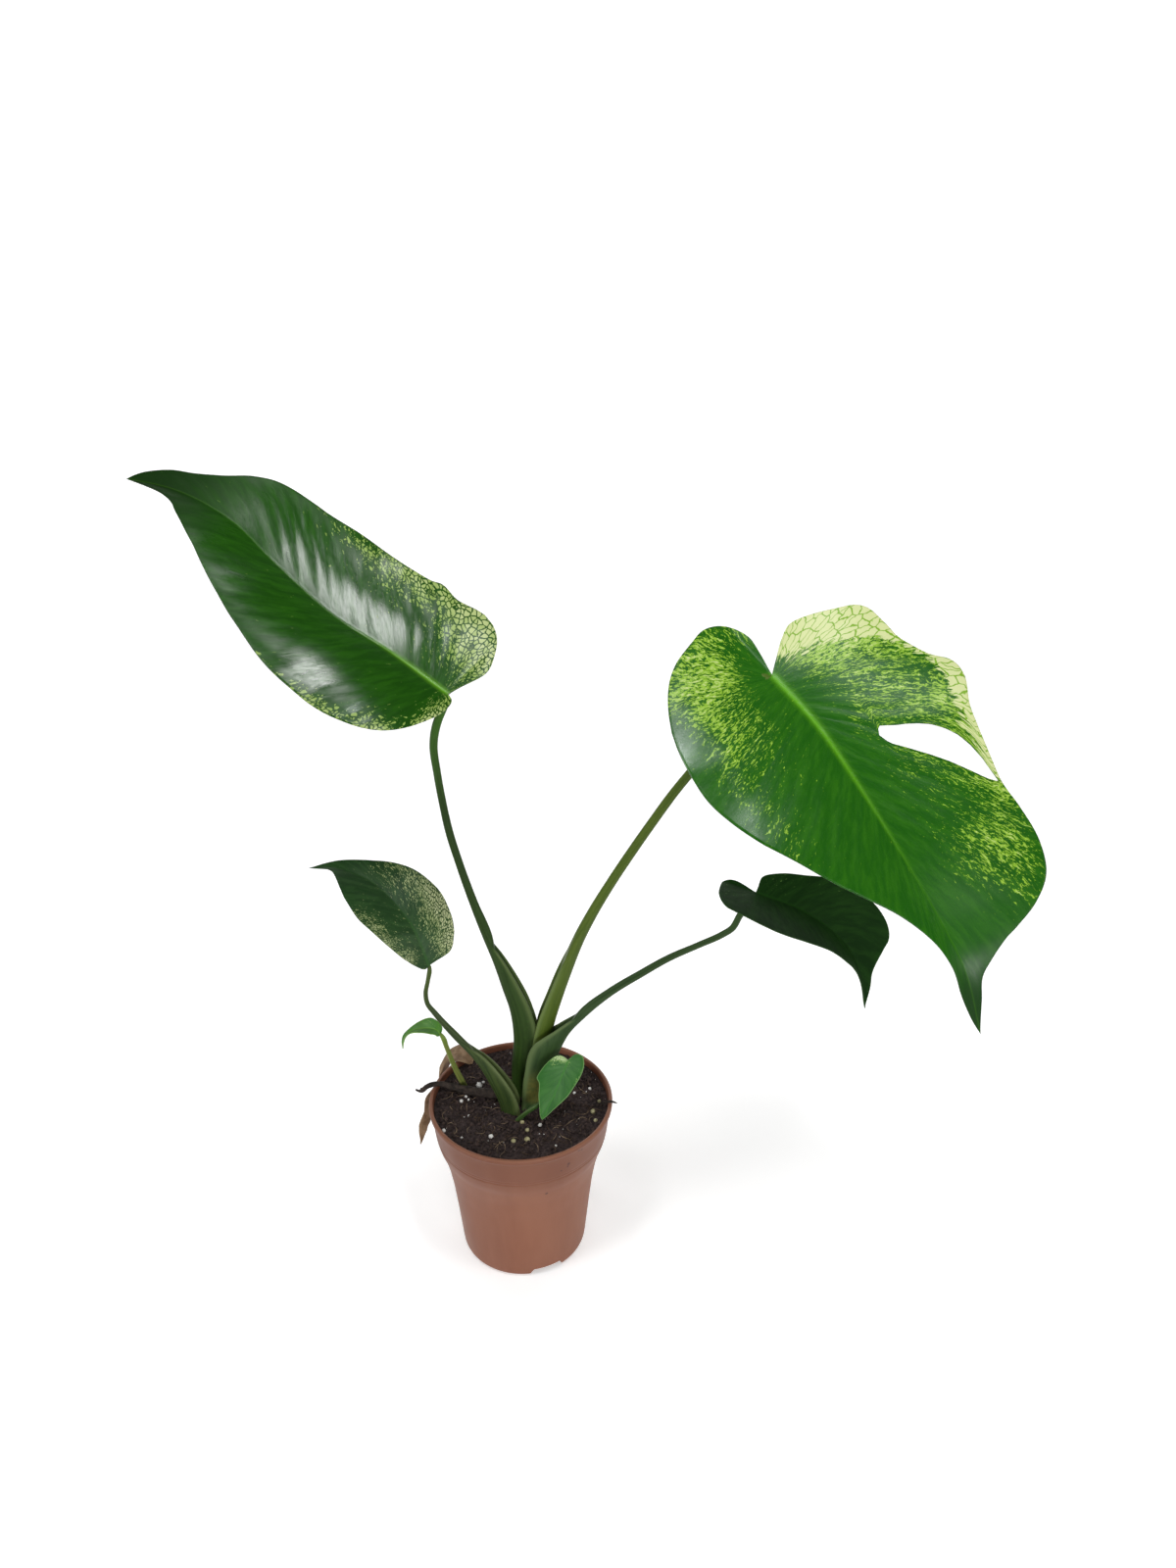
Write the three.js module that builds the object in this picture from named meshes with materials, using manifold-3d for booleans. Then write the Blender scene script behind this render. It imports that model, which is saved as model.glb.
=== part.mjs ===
// A potted aroid house plant: four large leaves on sheathed stalks, two small ones, one withered
// stalk and one dry leaf, growing from a rootstock in the soil of a 12 cm plastic nursery pot.
// Units are millimetres, +Z is up, and the origin is the middle of the pot's underside.
// The plant's front, with the big split leaf coming forward, faces -Y.
import * as THREE from 'three';
import { mergeVertices } from 'three/addons/utils/BufferGeometryUtils.js';
import Module from 'manifold-3d';

const wasm = await Module();
wasm.setup();

// Driving dimensions of the pot and the soil.
const POT_TOP_RADIUS = 60;
const POT_HEIGHT = 115;
const POT_BASE_RADIUS = 38;
const POT_WALL = 1.5;
const POT_SIDES = 40;
const FLOOR_THICKNESS = 2;
const DRAIN_HOLES = 6;
const DRAIN_HOLE_RADIUS = 3.5;
const DRAIN_RING_RADIUS = 22;
const FOOT_SLOTS = 2;
const FOOT_SLOT_ANGLE = -66;
const FOOT_SLOT_WIDTH = 23;
const FOOT_SLOT_HEIGHT = 6;
const SOIL_LEVEL = 111.5;
const ROOTSTOCK_TOP = 97;

// Clearance kept between two pieces that touch, and the thickness of the leaf blades.
const GAP = 0.3;
const BLADE_THICKNESS = 0.8;

const materials = {
  pot: { color: 0x9c6a52, roughness: 0.62 },
  soil: { color: 0x2b211d, roughness: 1.0 },
  root: { color: 0x5a4a33, roughness: 0.9 },
  darkStalk: { color: 0x2f4723, roughness: 0.5 },
  oliveStalk: { color: 0x4f5a1c, roughness: 0.5 },
  paleStalk: { color: 0x74923a, roughness: 0.5 },
  darkLeaf: { color: 0x1f4a17, roughness: 0.3 },
  brightLeaf: { color: 0x3d7a2a, roughness: 0.35 },
  dryLeaf: { color: 0x9a7448, roughness: 0.85 },
  withered: { color: 0x2a2826, roughness: 0.9 },
};

/** Distances along a chain of points, starting at 0. */
function chordKnots(points) {
  const knots = [0];
  for (let i = 1; i < points.length; i += 1) {
    const step = points[i].slice(0, 3).map((c, d) => c - points[i - 1][d]);
    knots.push(knots[i - 1] + Math.hypot(...step));
  }
  return knots;
}

/** Slope of the smooth curve at knot i, weighted by the lengths of the two spans there. */
function slopeAt(knots, rows, i) {
  const last = knots.length - 1;
  const before = Math.max(i - 1, 0);
  const after = Math.min(i + 1, last);
  const hA = knots[i] - knots[before];
  const hB = knots[after] - knots[i];
  return rows[i].map((value, d) => {
    const sA = hA > 0 ? (value - rows[before][d]) / hA : 0;
    const sB = hB > 0 ? (rows[after][d] - value) / hB : 0;
    if (hA === 0) return sB;
    if (hB === 0) return sA;
    return (sA * hB + sB * hA) / (hA + hB);
  });
}

/** Value at t on a smooth curve through rows of numbers, straight beyond its ends. */
function smooth(knots, rows, t) {
  const last = knots.length - 1;
  let i = 0;
  while (i < last - 1 && t >= knots[i + 1]) i += 1;
  const h = knots[i + 1] - knots[i];
  const s = (t - knots[i]) / h;
  const q = Math.min(Math.max(s, 0), 1);
  const from = slopeAt(knots, rows, i);
  const to = slopeAt(knots, rows, i + 1);
  const weights = [
    2 * q ** 3 - 3 * q ** 2 + 1,
    q ** 3 - 2 * q ** 2 + q,
    3 * q ** 2 - 2 * q ** 3,
    q ** 3 - q ** 2,
  ];
  return rows[i].map((value, d) => {
    const inside = weights[0] * value + weights[1] * h * from[d]
      + weights[2] * rows[i + 1][d] + weights[3] * h * to[d];
    return inside + Math.min(s, 0) * h * from[d] + Math.max(s - 1, 0) * h * to[d];
  });
}

/** Straight-line value at x in a list of [x, y] pairs. */
function lookUp(pairs, x) {
  let i = 0;
  while (i < pairs.length - 2 && x > pairs[i + 1][0]) i += 1;
  const [x0, y0] = pairs[i];
  const [x1, y1] = pairs[i + 1];
  const q = Math.min(Math.max((x - x0) / (x1 - x0), 0), 1);
  return y0 + (y1 - y0) * q;
}

const vector = (row) => new THREE.Vector3(row[0], row[1], row[2]);

/** A closed skin of triangles that welds equal points and drops triangles with no area. */
class Skin {
  constructor() {
    this.positions = [];
    this.index = [];
    this.known = new Map();
  }

  vertex(p) {
    const key = `${Math.round(p.x * 2000)},${Math.round(p.y * 2000)},${Math.round(p.z * 2000)}`;
    if (!this.known.has(key)) {
      this.known.set(key, this.positions.length / 3);
      this.positions.push(p.x, p.y, p.z);
    }
    return this.known.get(key);
  }

  triangle(a, b, c) {
    const [i, j, k] = [this.vertex(a), this.vertex(b), this.vertex(c)];
    if (i !== j && j !== k && k !== i) this.index.push(i, j, k);
  }

  quad(a, b, c, d, flip = false) {
    if (flip) {
      this.triangle(a, c, b);
      this.triangle(a, d, c);
    } else {
      this.triangle(a, b, c);
      this.triangle(a, c, d);
    }
  }

  geometry() {
    const geometry = new THREE.BufferGeometry();
    geometry.setAttribute('position', new THREE.Float32BufferAttribute(this.positions, 3));
    geometry.setIndex(this.index);
    return geometry;
  }
}

/** A closed geometry as a solid for cutting. */
function solidOf(geometry) {
  const bare = geometry.clone();
  bare.deleteAttribute('normal');
  bare.deleteAttribute('uv');
  const merged = mergeVertices(bare, 1e-4);
  const index = merged.index.array;
  const kept = [];
  for (let i = 0; i < index.length; i += 3) {
    const [a, b, c] = index.slice(i, i + 3);
    if (a !== b && b !== c && c !== a) kept.push(a, b, c);
  }
  return new wasm.Manifold(new wasm.Mesh({
    numProp: 3,
    vertProperties: new Float32Array(merged.attributes.position.array),
    triVerts: new Uint32Array(kept),
  }));
}

/** The largest separate body of a solid, so that no loose scrap is left after a cut. */
function largestBody(solid) {
  const bodies = solid.decompose();
  return bodies.reduce((best, body) => (body.volume() > best.volume() ? body : best));
}

/** A solid with the gap's clearance cut round a tool, by moving the tool a gap each way. */
function cutClearOf(solid, tool) {
  const moves = [[0, 0, 0], [1, 0, 0], [-1, 0, 0], [0, 1, 0], [0, -1, 0], [0, 0, 1], [0, 0, -1]];
  return moves.reduce((left, move) => left.subtract(tool.translate(move.map((c) => c * GAP))), solid);
}

/** A solid's surface as a geometry. */
function geometryOf(solid) {
  const mesh = solid.getMesh();
  const geometry = new THREE.BufferGeometry();
  const count = mesh.vertProperties.length / mesh.numProp;
  const positions = new Float32Array(count * 3);
  for (let i = 0; i < count; i += 1) {
    for (let d = 0; d < 3; d += 1) {
      positions[i * 3 + d] = mesh.vertProperties[i * mesh.numProp + d];
    }
  }
  geometry.setAttribute('position', new THREE.BufferAttribute(positions, 3));
  geometry.setIndex(new THREE.BufferAttribute(new Uint32Array(mesh.triVerts), 1));
  return geometry;
}

/**
 * The bent sheet that a blade lies on. Flat leaf coordinates are across (right of the midrib is
 * positive, seen from above with the tip ahead) and along (from the stalk to the tip). The sheet
 * follows the midrib's curve, faces the leaf's own way, and is folded, rolled and waved.
 */
function bladeSheet(leaf) {
  const knots = chordKnots(leaf.midrib);
  const length = knots[knots.length - 1];
  const faceKnots = leaf.face.map((_, i) => (i * length) / (leaf.face.length - 1));
  const spread = 1 / Math.sqrt(1 + leaf.fold ** 2);

  function lift(across, along) {
    const fold = leaf.fold * (Math.sqrt(across ** 2 + 1) - 1);
    const roll = leaf.roll * (across / 50) ** 2;
    const phase = leaf.phase + (across < 0 ? 2 : 0);
    const wave = Math.sin((2 * Math.PI * along) / leaf.waveLength + phase);
    return fold + roll + leaf.wave * (across / leaf.halfWidth) ** 2 * wave;
  }

  function frame(along) {
    const place = vector(smooth(knots, leaf.midrib, along));
    const ahead = vector(smooth(knots, leaf.midrib, along + 0.5));
    ahead.sub(vector(smooth(knots, leaf.midrib, along - 0.5))).normalize();
    const inside = Math.min(Math.max(along, 0), length);
    const facing = vector(smooth(faceKnots, leaf.face, inside));
    const right = new THREE.Vector3().crossVectors(ahead, facing).normalize();
    const up = new THREE.Vector3().crossVectors(right, ahead);
    return { place, right, up };
  }

  function point(across, along) {
    const { place, right, up } = frame(along);
    place.addScaledVector(right, across * spread);
    return place.addScaledVector(up, lift(across, along));
  }

  function normal(across, along) {
    const e = 0.2;
    const side = point(across + e, along).sub(point(across - e, along));
    const ahead = point(across, along + e).sub(point(across, along - e));
    return side.cross(ahead).normalize();
  }

  return { length, point, normal };
}

/** The margin point that the side vein from a place on the midrib runs to. */
function marginAt(margin, anchor) {
  const last = margin.length - 1;
  let i = 0;
  while (i < last - 1 && anchor > margin[i + 1][2]) i += 1;
  const q = (anchor - margin[i][2]) / (margin[i + 1][2] - margin[i][2]);
  const knots = margin.map((_, k) => k);
  return smooth(knots, margin, i + Math.min(Math.max(q, 0), 1));
}

/**
 * A blade's closed solid. Rows run out from the midrib to the margin as the side veins do, and a
 * slit opens along one row. Both faces are split into triangles alike, and the midrib stands out
 * under the blade. The grow value thickens it, for cutting a neighbour clear of it.
 */
function bladeSolid(leaf, grow = 0) {
  const sheet = bladeSheet(leaf);
  const skin = new Skin();
  const lastRow = leaf.rows[leaf.rows.length - 1][1];
  const anchors = [];
  for (let i = 0; i <= lastRow; i += 1) {
    anchors.push(lookUp(leaf.rows.map(([anchor, row]) => [row, anchor]), i));
  }

  function layer(side, part) {
    const margin = side > 0 ? leaf.right : leaf.left;
    const columns = side > 0 ? leaf.columns : leaf.leftColumns ?? leaf.columns;
    const rows = [];
    for (let i = part.from; i <= part.to; i += 1) {
      const [across, along] = marginAt(margin, anchors[i]);
      const near = part.shift ? Math.max(1 - Math.abs(i - leaf.slit.row) / part.reach, 0) : 0;
      rows.push(columns.map((w) => {
        const u = across * w;
        const v = anchors[i] + (along - anchors[i]) * w + (part.shift ? lookUp(part.shift, w) * near : 0);
        const normal = sheet.normal(u, v);
        const fade = 1 - Math.max(v, 0) / sheet.length;
        const rib = leaf.rib * Math.exp(-((u / 2) ** 2)) * fade;
        const half = BLADE_THICKNESS / 2 + grow;
        return {
          top: sheet.point(u, v).addScaledVector(normal, half),
          under: sheet.point(u, v).addScaledVector(normal, -half - rib),
          open: part.shift ? lookUp(part.shift, w) !== 0 : false,
        };
      }));
    }
    return rows;
  }

  function cover(rows, flip) {
    for (let i = 0; i < rows.length - 1; i += 1) {
      const edge = rows[i].length - 1;
      for (let j = 0; j < edge; j += 1) {
        const [a, b, c, d] = [rows[i][j], rows[i][j + 1], rows[i + 1][j + 1], rows[i + 1][j]];
        skin.quad(a.top, b.top, c.top, d.top, flip);
        skin.quad(a.under, b.under, c.under, d.under, !flip);
      }
      const [a, b] = [rows[i][edge], rows[i + 1][edge]];
      skin.quad(a.top, a.under, b.under, b.top, flip);
    }
  }

  function slitWall(row, flip) {
    for (let j = 0; j < row.length - 1; j += 1) {
      if (row[j].open || row[j + 1].open) {
        skin.quad(row[j].top, row[j + 1].top, row[j + 1].under, row[j].under, flip);
      }
    }
  }

  for (const side of [1, -1]) {
    const flip = side < 0;
    if (leaf.slit && leaf.slit.side === side) {
      const { row, near, far } = leaf.slit;
      const low = layer(side, { from: 0, to: row, shift: near, reach: 4 });
      const high = layer(side, { from: row, to: lastRow, shift: far, reach: 3 });
      cover(low, flip);
      cover(high, flip);
      slitWall(low[low.length - 1], flip);
      slitWall(high[0], !flip);
    } else {
      cover(layer(side, { from: 0, to: lastRow }), flip);
    }
  }
  return solidOf(skin.geometry());
}

/**
 * A stalk's closed solid, carried along its outer edge. Each station gives a point of that edge,
 * the half width, the depth from the edge to the mouth, and how far the mouth is hollowed: a
 * negative hollow is a rounded back. The facing vector points from the edge to the mouth.
 */
function stalkSolid(stalk, grow = 0) {
  const knots = chordKnots(stalk.stations);
  const length = knots[knots.length - 1];
  const steps = stalk.steps;
  const facing = vector(stalk.facing);
  const arc = 7;
  const skin = new Skin();

  function ring(t) {
    const [x, y, z, halfWidth, depth, hollow] = smooth(knots, stalk.stations, t);
    const ahead = vector(smooth(knots, stalk.stations, t + 0.5));
    ahead.sub(vector(smooth(knots, stalk.stations, t - 0.5))).normalize();
    const inward = facing.clone().addScaledVector(ahead, -facing.dot(ahead)).normalize();
    const lateral = new THREE.Vector3().crossVectors(ahead, inward);
    const lip = Math.min(0.35, halfWidth * 0.15);
    const flat = [];
    for (let k = 0; k <= arc; k += 1) {
      const angle = Math.PI * (0.5 - k / arc);
      const across = depth + grow - (depth + 2 * grow) * Math.cos(angle);
      flat.push([across, (halfWidth + grow) * Math.sin(angle)]);
    }
    const inner = halfWidth - 2 * lip + (hollow > 0 ? -grow : grow);
    for (let k = 0; k <= arc - 2; k += 1) {
      const angle = Math.PI * (k / (arc - 2) - 0.5);
      flat.push([depth + grow + lip * 0.5 - hollow * Math.cos(angle), inner * Math.sin(angle)]);
    }
    const points = flat.map(([d, side]) => new THREE.Vector3(x, y, z)
      .addScaledVector(inward, d).addScaledVector(lateral, side));
    return { flat, points };
  }

  const rings = [];
  for (let i = 0; i <= steps; i += 1) {
    rings.push(ring(-grow + ((length + 2 * grow) * i) / steps));
  }
  const count = rings[0].points.length;
  for (let i = 0; i < steps; i += 1) {
    for (let k = 0; k < count; k += 1) {
      const next = (k + 1) % count;
      const [a, b] = [rings[i].points, rings[i + 1].points];
      skin.quad(a[k], a[next], b[next], b[k]);
    }
  }
  for (const [end, flip] of [[rings[0], true], [rings[steps], false]]) {
    const contour = end.flat.map(([x, y]) => new THREE.Vector2(x, y));
    for (const [a, b, c] of THREE.ShapeUtils.triangulateShape(contour, [])) {
      const corners = [end.points[a], end.points[b], end.points[c]];
      if (flip) corners.reverse();
      skin.triangle(...corners);
    }
  }
  return solidOf(skin.geometry());
}

/** Stations of a plain round stalk: the edge is one radius out from the given centre line. */
function roundStations(points) {
  return points.map(([x, y, z, radius]) => [x, y, z, radius, radius, -radius]);
}

// The leaves. Midrib points run from the stalk to the tip. Margin rows are [across, along,
// where the side vein to that point leaves the midrib].
const tallLeft = {
  midrib: [[-34, 0, 396], [-66, 15, 415], [-101, 32, 432], [-136, 50, 458], [-161, 62, 479],
    [-196, 76, 494], [-226, 84, 499]],
  face: [[0.25, -0.62, 0.74], [0.25, -0.62, 0.74], [0.15, -0.55, 0.82]],
  fold: 0.22,
  roll: -3.5,
  wave: 1.5,
  waveLength: 62,
  halfWidth: 50,
  phase: 0.6,
  rib: 1.4,
  rows: [[0, 0], [2.4, 7], [30, 13], [236.5, 31]],
  columns: [0, 0.06, 0.2, 0.4, 0.6, 0.8, 1],
  right: [[0, 0, 0], [8, -3, 0.4], [23, -8.5, 0.9], [35, -5.5, 1.4], [45.5, 1, 1.9], [51.5, 11, 2.6],
    [52, 20, 4], [50, 33, 8], [53, 44, 12], [51, 51, 16], [50.5, 64, 24], [51, 92, 42], [49.5, 109, 56],
    [44.5, 128, 72], [42, 143, 86], [37.5, 160, 104], [30, 173, 122], [20.5, 185, 142], [14, 199, 164],
    [11, 213, 184], [7, 226, 204], [3.5, 232.5, 216], [0, 236.5, 236.5]],
  left: [[0, 0, 0], [-3, -5, 0.3], [-14, -6, 0.6], [-27, -2.5, 1.1], [-38, 2.5, 1.6], [-46.5, 9, 2.3],
    [-52.5, 17.5, 4], [-57, 28, 8], [-60, 39, 14], [-60.5, 50, 21], [-58.5, 63, 30], [-54.5, 84, 46],
    [-49.5, 104, 62], [-46, 119, 76], [-40, 138, 94], [-34, 157, 114], [-27.5, 173, 134],
    [-18, 190, 158], [-12, 198.5, 172], [-7.5, 209, 188], [-4, 221, 204], [-1.5, 230, 216],
    [0, 236.5, 236.5]],
};

const splitRight = {
  midrib: [[141, -28, 417], [161, -48, 399], [184, -74, 370], [201, -96, 346], [218, -116, 320],
    [228, -128, 302], [240, -134, 265]],
  face: [[-0.05, -0.62, 0.78], [-0.05, -0.66, 0.74], [0.05, -0.8, 0.6]],
  fold: 0.2,
  roll: -3,
  wave: 2,
  waveLength: 85,
  halfWidth: 70,
  phase: 1,
  rib: 1.8,
  rows: [[0, 0], [2.8, 10], [30, 18], [215.5, 34]],
  columns: [0, 0.05, 0.2, 0.4, 0.6, 0.8, 1],
  leftColumns: [0, 0.05, 0.2, 0.36, 0.41, 0.52, 0.66, 0.8, 0.9, 0.96, 0.98, 1],
  right: [[0, 0, 0], [-3.5, -15, 0.3], [-4.5, -26, 0.6], [1, -37.5, 0.9], [12, -42, 1.2],
    [24, -39, 1.5], [40, -33, 1.9], [52, -24, 2.3], [63, -10, 2.8], [71, 5, 4], [75, 21, 8],
    [75, 42, 15], [70, 62, 25], [62, 80, 37], [52, 96, 50], [41, 112, 66], [29, 127, 84],
    [18, 142, 104], [9, 160, 130], [6, 175, 152], [6, 190, 172], [3.5, 204, 190], [0, 215.5, 215.5]],
  left: [[0, 0, 0], [-8, -6, 0.3], [-17, -12.5, 0.6], [-26, -16.5, 0.9], [-37, -14, 1.2],
    [-51, -8, 1.6], [-61, -3, 2], [-65.5, 4, 2.5], [-66.5, 16, 4], [-66.5, 25, 6], [-72, 37, 9],
    [-79.5, 45, 12], [-79, 54, 15], [-72, 66, 18], [-69, 78, 21], [-66, 94, 26], [-64, 107, 30],
    [-64.5, 122, 40], [-63, 140, 54], [-57, 155, 70], [-46, 164, 86], [-32, 170, 104],
    [-24, 173, 118], [-14, 179, 136], [-7, 186, 156], [-4, 198, 180], [0, 215.5, 215.5]],
  slit: {
    side: -1,
    row: 18,
    near: [[0, 0], [0.36, 0], [0.41, -7.5], [0.52, -12.5], [0.66, -19.5], [0.8, -23.5], [0.9, -22],
      [0.96, -14], [0.98, 0], [1, 0]],
    far: [[0, 0], [0.36, 0], [0.41, 3], [0.66, 1], [0.9, 2], [0.96, 1], [0.98, 0], [1, 0]],
  },
};

const lowRight = {
  midrib: [[146, 5, 266], [172, 5, 255], [191, 5, 242], [207, 3, 225], [215, 0, 206], [218, -3, 187]],
  face: [[0.25, -0.35, 0.9], [0.45, -0.45, 0.7], [0.7, -0.6, 0.3]],
  fold: 0.42,
  roll: -3,
  wave: 1,
  waveLength: 50,
  halfWidth: 35,
  phase: 0.5,
  rib: 1,
  rows: [[0, 0], [2, 7], [114.5, 23]],
  columns: [0, 0.08, 0.3, 0.55, 0.78, 1],
  right: [[0, 0, 0], [-3, -13.5, 0.4], [0, -21.5, 0.8], [10, -25.5, 1.1], [22, -27.5, 1.5],
    [32, -24.5, 1.9], [36.5, -14, 2.4], [39.5, -4, 3.2], [42.5, 5, 6], [41, 15, 11], [34, 30.5, 20],
    [27, 48, 32], [18.5, 68, 48], [11.5, 79, 60], [6.5, 88, 70], [4.5, 96, 80], [3, 105, 92],
    [0, 114.5, 114.5]],
  left: [[0, 0, 0], [-5, 0.5, 0.5], [-10.5, 1.3, 1], [-14, 5, 2], [-18.5, 15, 6], [-22, 26, 11],
    [-27.5, 39.5, 18], [-31, 50, 24], [-33.5, 60, 31], [-34.5, 69, 39], [-32.5, 77, 48],
    [-28, 82.5, 57], [-21, 85.5, 65], [-13, 90, 74], [-8, 95, 82], [-5, 103, 92], [0, 114.5, 114.5]],
};

const lowLeft = {
  midrib: [[-55, 2, 215], [-65, 10, 239], [-89, 24, 261], [-113, 34, 267], [-134, 44, 262]],
  face: [[0.35, -0.55, 0.75], [0.3, -0.5, 0.8], [0.2, -0.5, 0.85]],
  fold: 0.22,
  roll: -5,
  wave: 0.8,
  waveLength: 45,
  halfWidth: 26,
  phase: 0.3,
  rib: 0.8,
  rows: [[0, 0], [1.6, 5], [113, 22]],
  columns: [0, 0.08, 0.3, 0.55, 0.78, 1],
  right: [[0, 0, 0], [4, 2, 0.3], [9.5, 2, 0.6], [16, 3.5, 1], [20.5, 9, 1.8], [24, 16.5, 3.5],
    [26.5, 25, 7], [28, 34.5, 12], [26.5, 43.5, 18], [23.5, 53.5, 26], [18.5, 63.5, 36], [13, 73, 47],
    [8.5, 83, 60], [4.5, 95, 76], [1.8, 106, 92], [0, 113, 113]],
  left: [[0, 0, 0], [-4, 0, 0.4], [-8.5, 4, 1], [-14, 10.5, 2.2], [-18, 17, 4.5], [-22, 25.5, 9],
    [-25, 34, 14], [-27, 42.5, 20], [-27.5, 50, 26], [-25.5, 59, 34], [-21, 70.5, 44], [-15, 78.5, 54],
    [-9, 85, 64], [-4.5, 90.5, 74], [-2, 96, 82], [-1, 104, 92], [0, 113, 113]],
};

const smallLeft = {
  midrib: [[-52, 10, 157], [-54, 10, 161], [-58, 10, 162.5], [-64, 9, 163], [-70, 8, 162],
    [-74, 7, 159], [-75.5, 6, 155], [-76, 5, 150]],
  face: [[0.3, -0.35, 0.9], [-0.35, -0.35, 0.88], [-0.95, -0.3, 0.1]],
  fold: 0.35,
  roll: -2,
  wave: 0.4,
  waveLength: 20,
  halfWidth: 7,
  phase: 0,
  rib: 0.4,
  rows: [[0, 0], [1, 2], [35.6, 16]],
  columns: [0, 0.15, 0.55, 1],
  right: [[0, 0, 0], [3, 2, 0.5], [5.5, 5.5, 1.5], [7, 9, 3], [6.5, 12, 5], [5, 16, 8], [3, 20, 12],
    [2, 24, 16], [2, 29, 22], [1.5, 33, 28], [0, 35.6, 35.6]],
  left: [[0, 0, 0], [-3, 1.5, 0.5], [-5, 6, 1.5], [-5.5, 10, 3.5], [-4.5, 15, 7], [-3.3, 19, 11],
    [-2, 23, 15], [-1.8, 27, 20], [-1.8, 31, 25], [0, 35.6, 35.6]],
};

const smallFront = {
  midrib: [[31.5, -11, 153.5], [29, -14, 148], [26, -18, 142], [22.5, -23, 135], [18, -28, 128],
    [15, -31, 122.5]],
  face: [[-0.1, -0.8, 0.6], [-0.15, -0.85, 0.5], [-0.2, -0.9, 0.4]],
  fold: 0.2,
  roll: -6,
  wave: 0.5,
  waveLength: 25,
  halfWidth: 14,
  phase: 0,
  rib: 0.4,
  rows: [[0, 0], [1, 4], [12, 10], [40.5, 19]],
  columns: [0, 0.12, 0.55, 1],
  right: [[0, 0, 0], [4, -1, 0.3], [7, -0.5, 0.6], [10, 2.5, 1.1], [12.5, 8, 2.5], [14, 13.5, 5],
    [14.5, 17.5, 7], [11.8, 20.4, 9], [9, 28, 14], [5.3, 33.5, 20], [2.3, 38.5, 28], [0, 40.5, 40.5]],
  left: [[0, 0, 0], [-2, -4.2, 0.3], [-5, -6.2, 0.6], [-8.5, -5.5, 0.9], [-11, -1, 1.5],
    [-11.5, 5, 3], [-10.5, 12, 6], [-8.7, 20, 10.5], [-6.2, 25.5, 15], [-4, 31, 21],
    [-2, 36.5, 28], [0, 40.5, 40.5]],
};

const dryHanging = {
  midrib: [[-35, 37, 113.4], [-41, 41, 116.45], [-48, 43.5, 114.3], [-54.5, 37.5, 103], [-61, 28, 87],
    [-67, 19, 73], [-72.5, 12, 59]],
  face: [[-0.2, -0.2, 0.95], [-0.8, 0.4, 0.4], [-0.85, 0.3, -0.2]],
  fold: 0.4,
  roll: 0,
  wave: 1,
  waveLength: 24,
  halfWidth: 9,
  phase: 0,
  rib: 0,
  rows: [[0, 0], [1.5, 3], [79, 18]],
  columns: [0, 0.35, 0.7, 1],
  right: [[0, 0, 0], [3, 2, 0.6], [6.5, 7, 2.5], [9.5, 16, 8], [10, 28, 18], [9.5, 42, 31],
    [8.5, 56, 45], [5, 69, 60], [0, 79, 79]],
  left: [[0, 0, 0], [-3, 2, 0.6], [-6.5, 7, 2.5], [-9, 16, 8], [-10, 28, 18], [-10, 42, 31],
    [-9, 56, 45], [-5.5, 69, 60], [0, 79, 79]],
};

// The stalks. Stations are [x, y, z, half width, depth, hollow] along the outer edge.
const tallLeftStalk = {
  facing: [1, 0, 0],
  steps: 26,
  stations: [[-2, 6, 96.5, 5, 10, 6], [-6, 7, 118, 5.4, 14, 11.6], [-5.7, 7.5, 137, 5.4, 16.5, 14.6],
    [-4.2, 8, 157, 5.2, 16.4, 14.8], [-6.3, 8.5, 179, 4.9, 13.6, 12], [-10, 8.5, 193, 4.6, 11.8, 10.2],
    [-16, 9, 215, 3.6, 7, 4.8], [-20.5, 9.5, 228.5, 2.8, 3.4, -2.2], [-29, 9.5, 257, 2.5, 2.6, -2.5],
    [-36, 9, 284, 2.3, 2.3, -2.3], [-41, 10, 304, 2.3, 2.3, -2.3], [-44, 10, 324, 2.2, 2.2, -2.2],
    [-46, 9, 343, 2.2, 2.2, -2.2], [-47, 7, 363, 2.3, 2.3, -2.3], [-44.5, 4, 376, 2.4, 2.4, -2.4],
    [-39.5, 1.5, 388, 2.3, 2.3, -2.3], [-36.5, 0.5, 394, 2.2, 2.2, -2.2]],
};

const splitRightStalk = {
  facing: [-1, 0, 0],
  steps: 24,
  stations: [[11, 3, 96.5, 3.6, 7, 1.5], [14, 3, 120, 4, 8.5, 4], [17, 4.5, 142, 4.4, 10, 6],
    [23, 6.5, 171, 4.8, 11, 6.5], [27.6, 6, 188, 4.5, 9.8, 4.5], [33.6, 4, 209, 4.2, 8.5, 1.5],
    [41.8, 1, 235, 3.6, 5.5, -1.5], [50.2, -2, 256, 3.1, 3.5, -2.9], [60, -5, 277, 2.9, 2.9, -2.9],
    [71.5, -8, 299, 2.8, 2.8, -2.8], [83, -11, 320, 2.7, 2.7, -2.7], [95, -14, 341, 2.6, 2.6, -2.6],
    [108, -18.5, 362, 2.5, 2.5, -2.5], [122, -22.5, 384, 2.4, 2.4, -2.4],
    [134, -26, 403, 2.4, 2.4, -2.4], [141, -28, 415, 2.2, 2.2, -2.2]],
};

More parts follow.
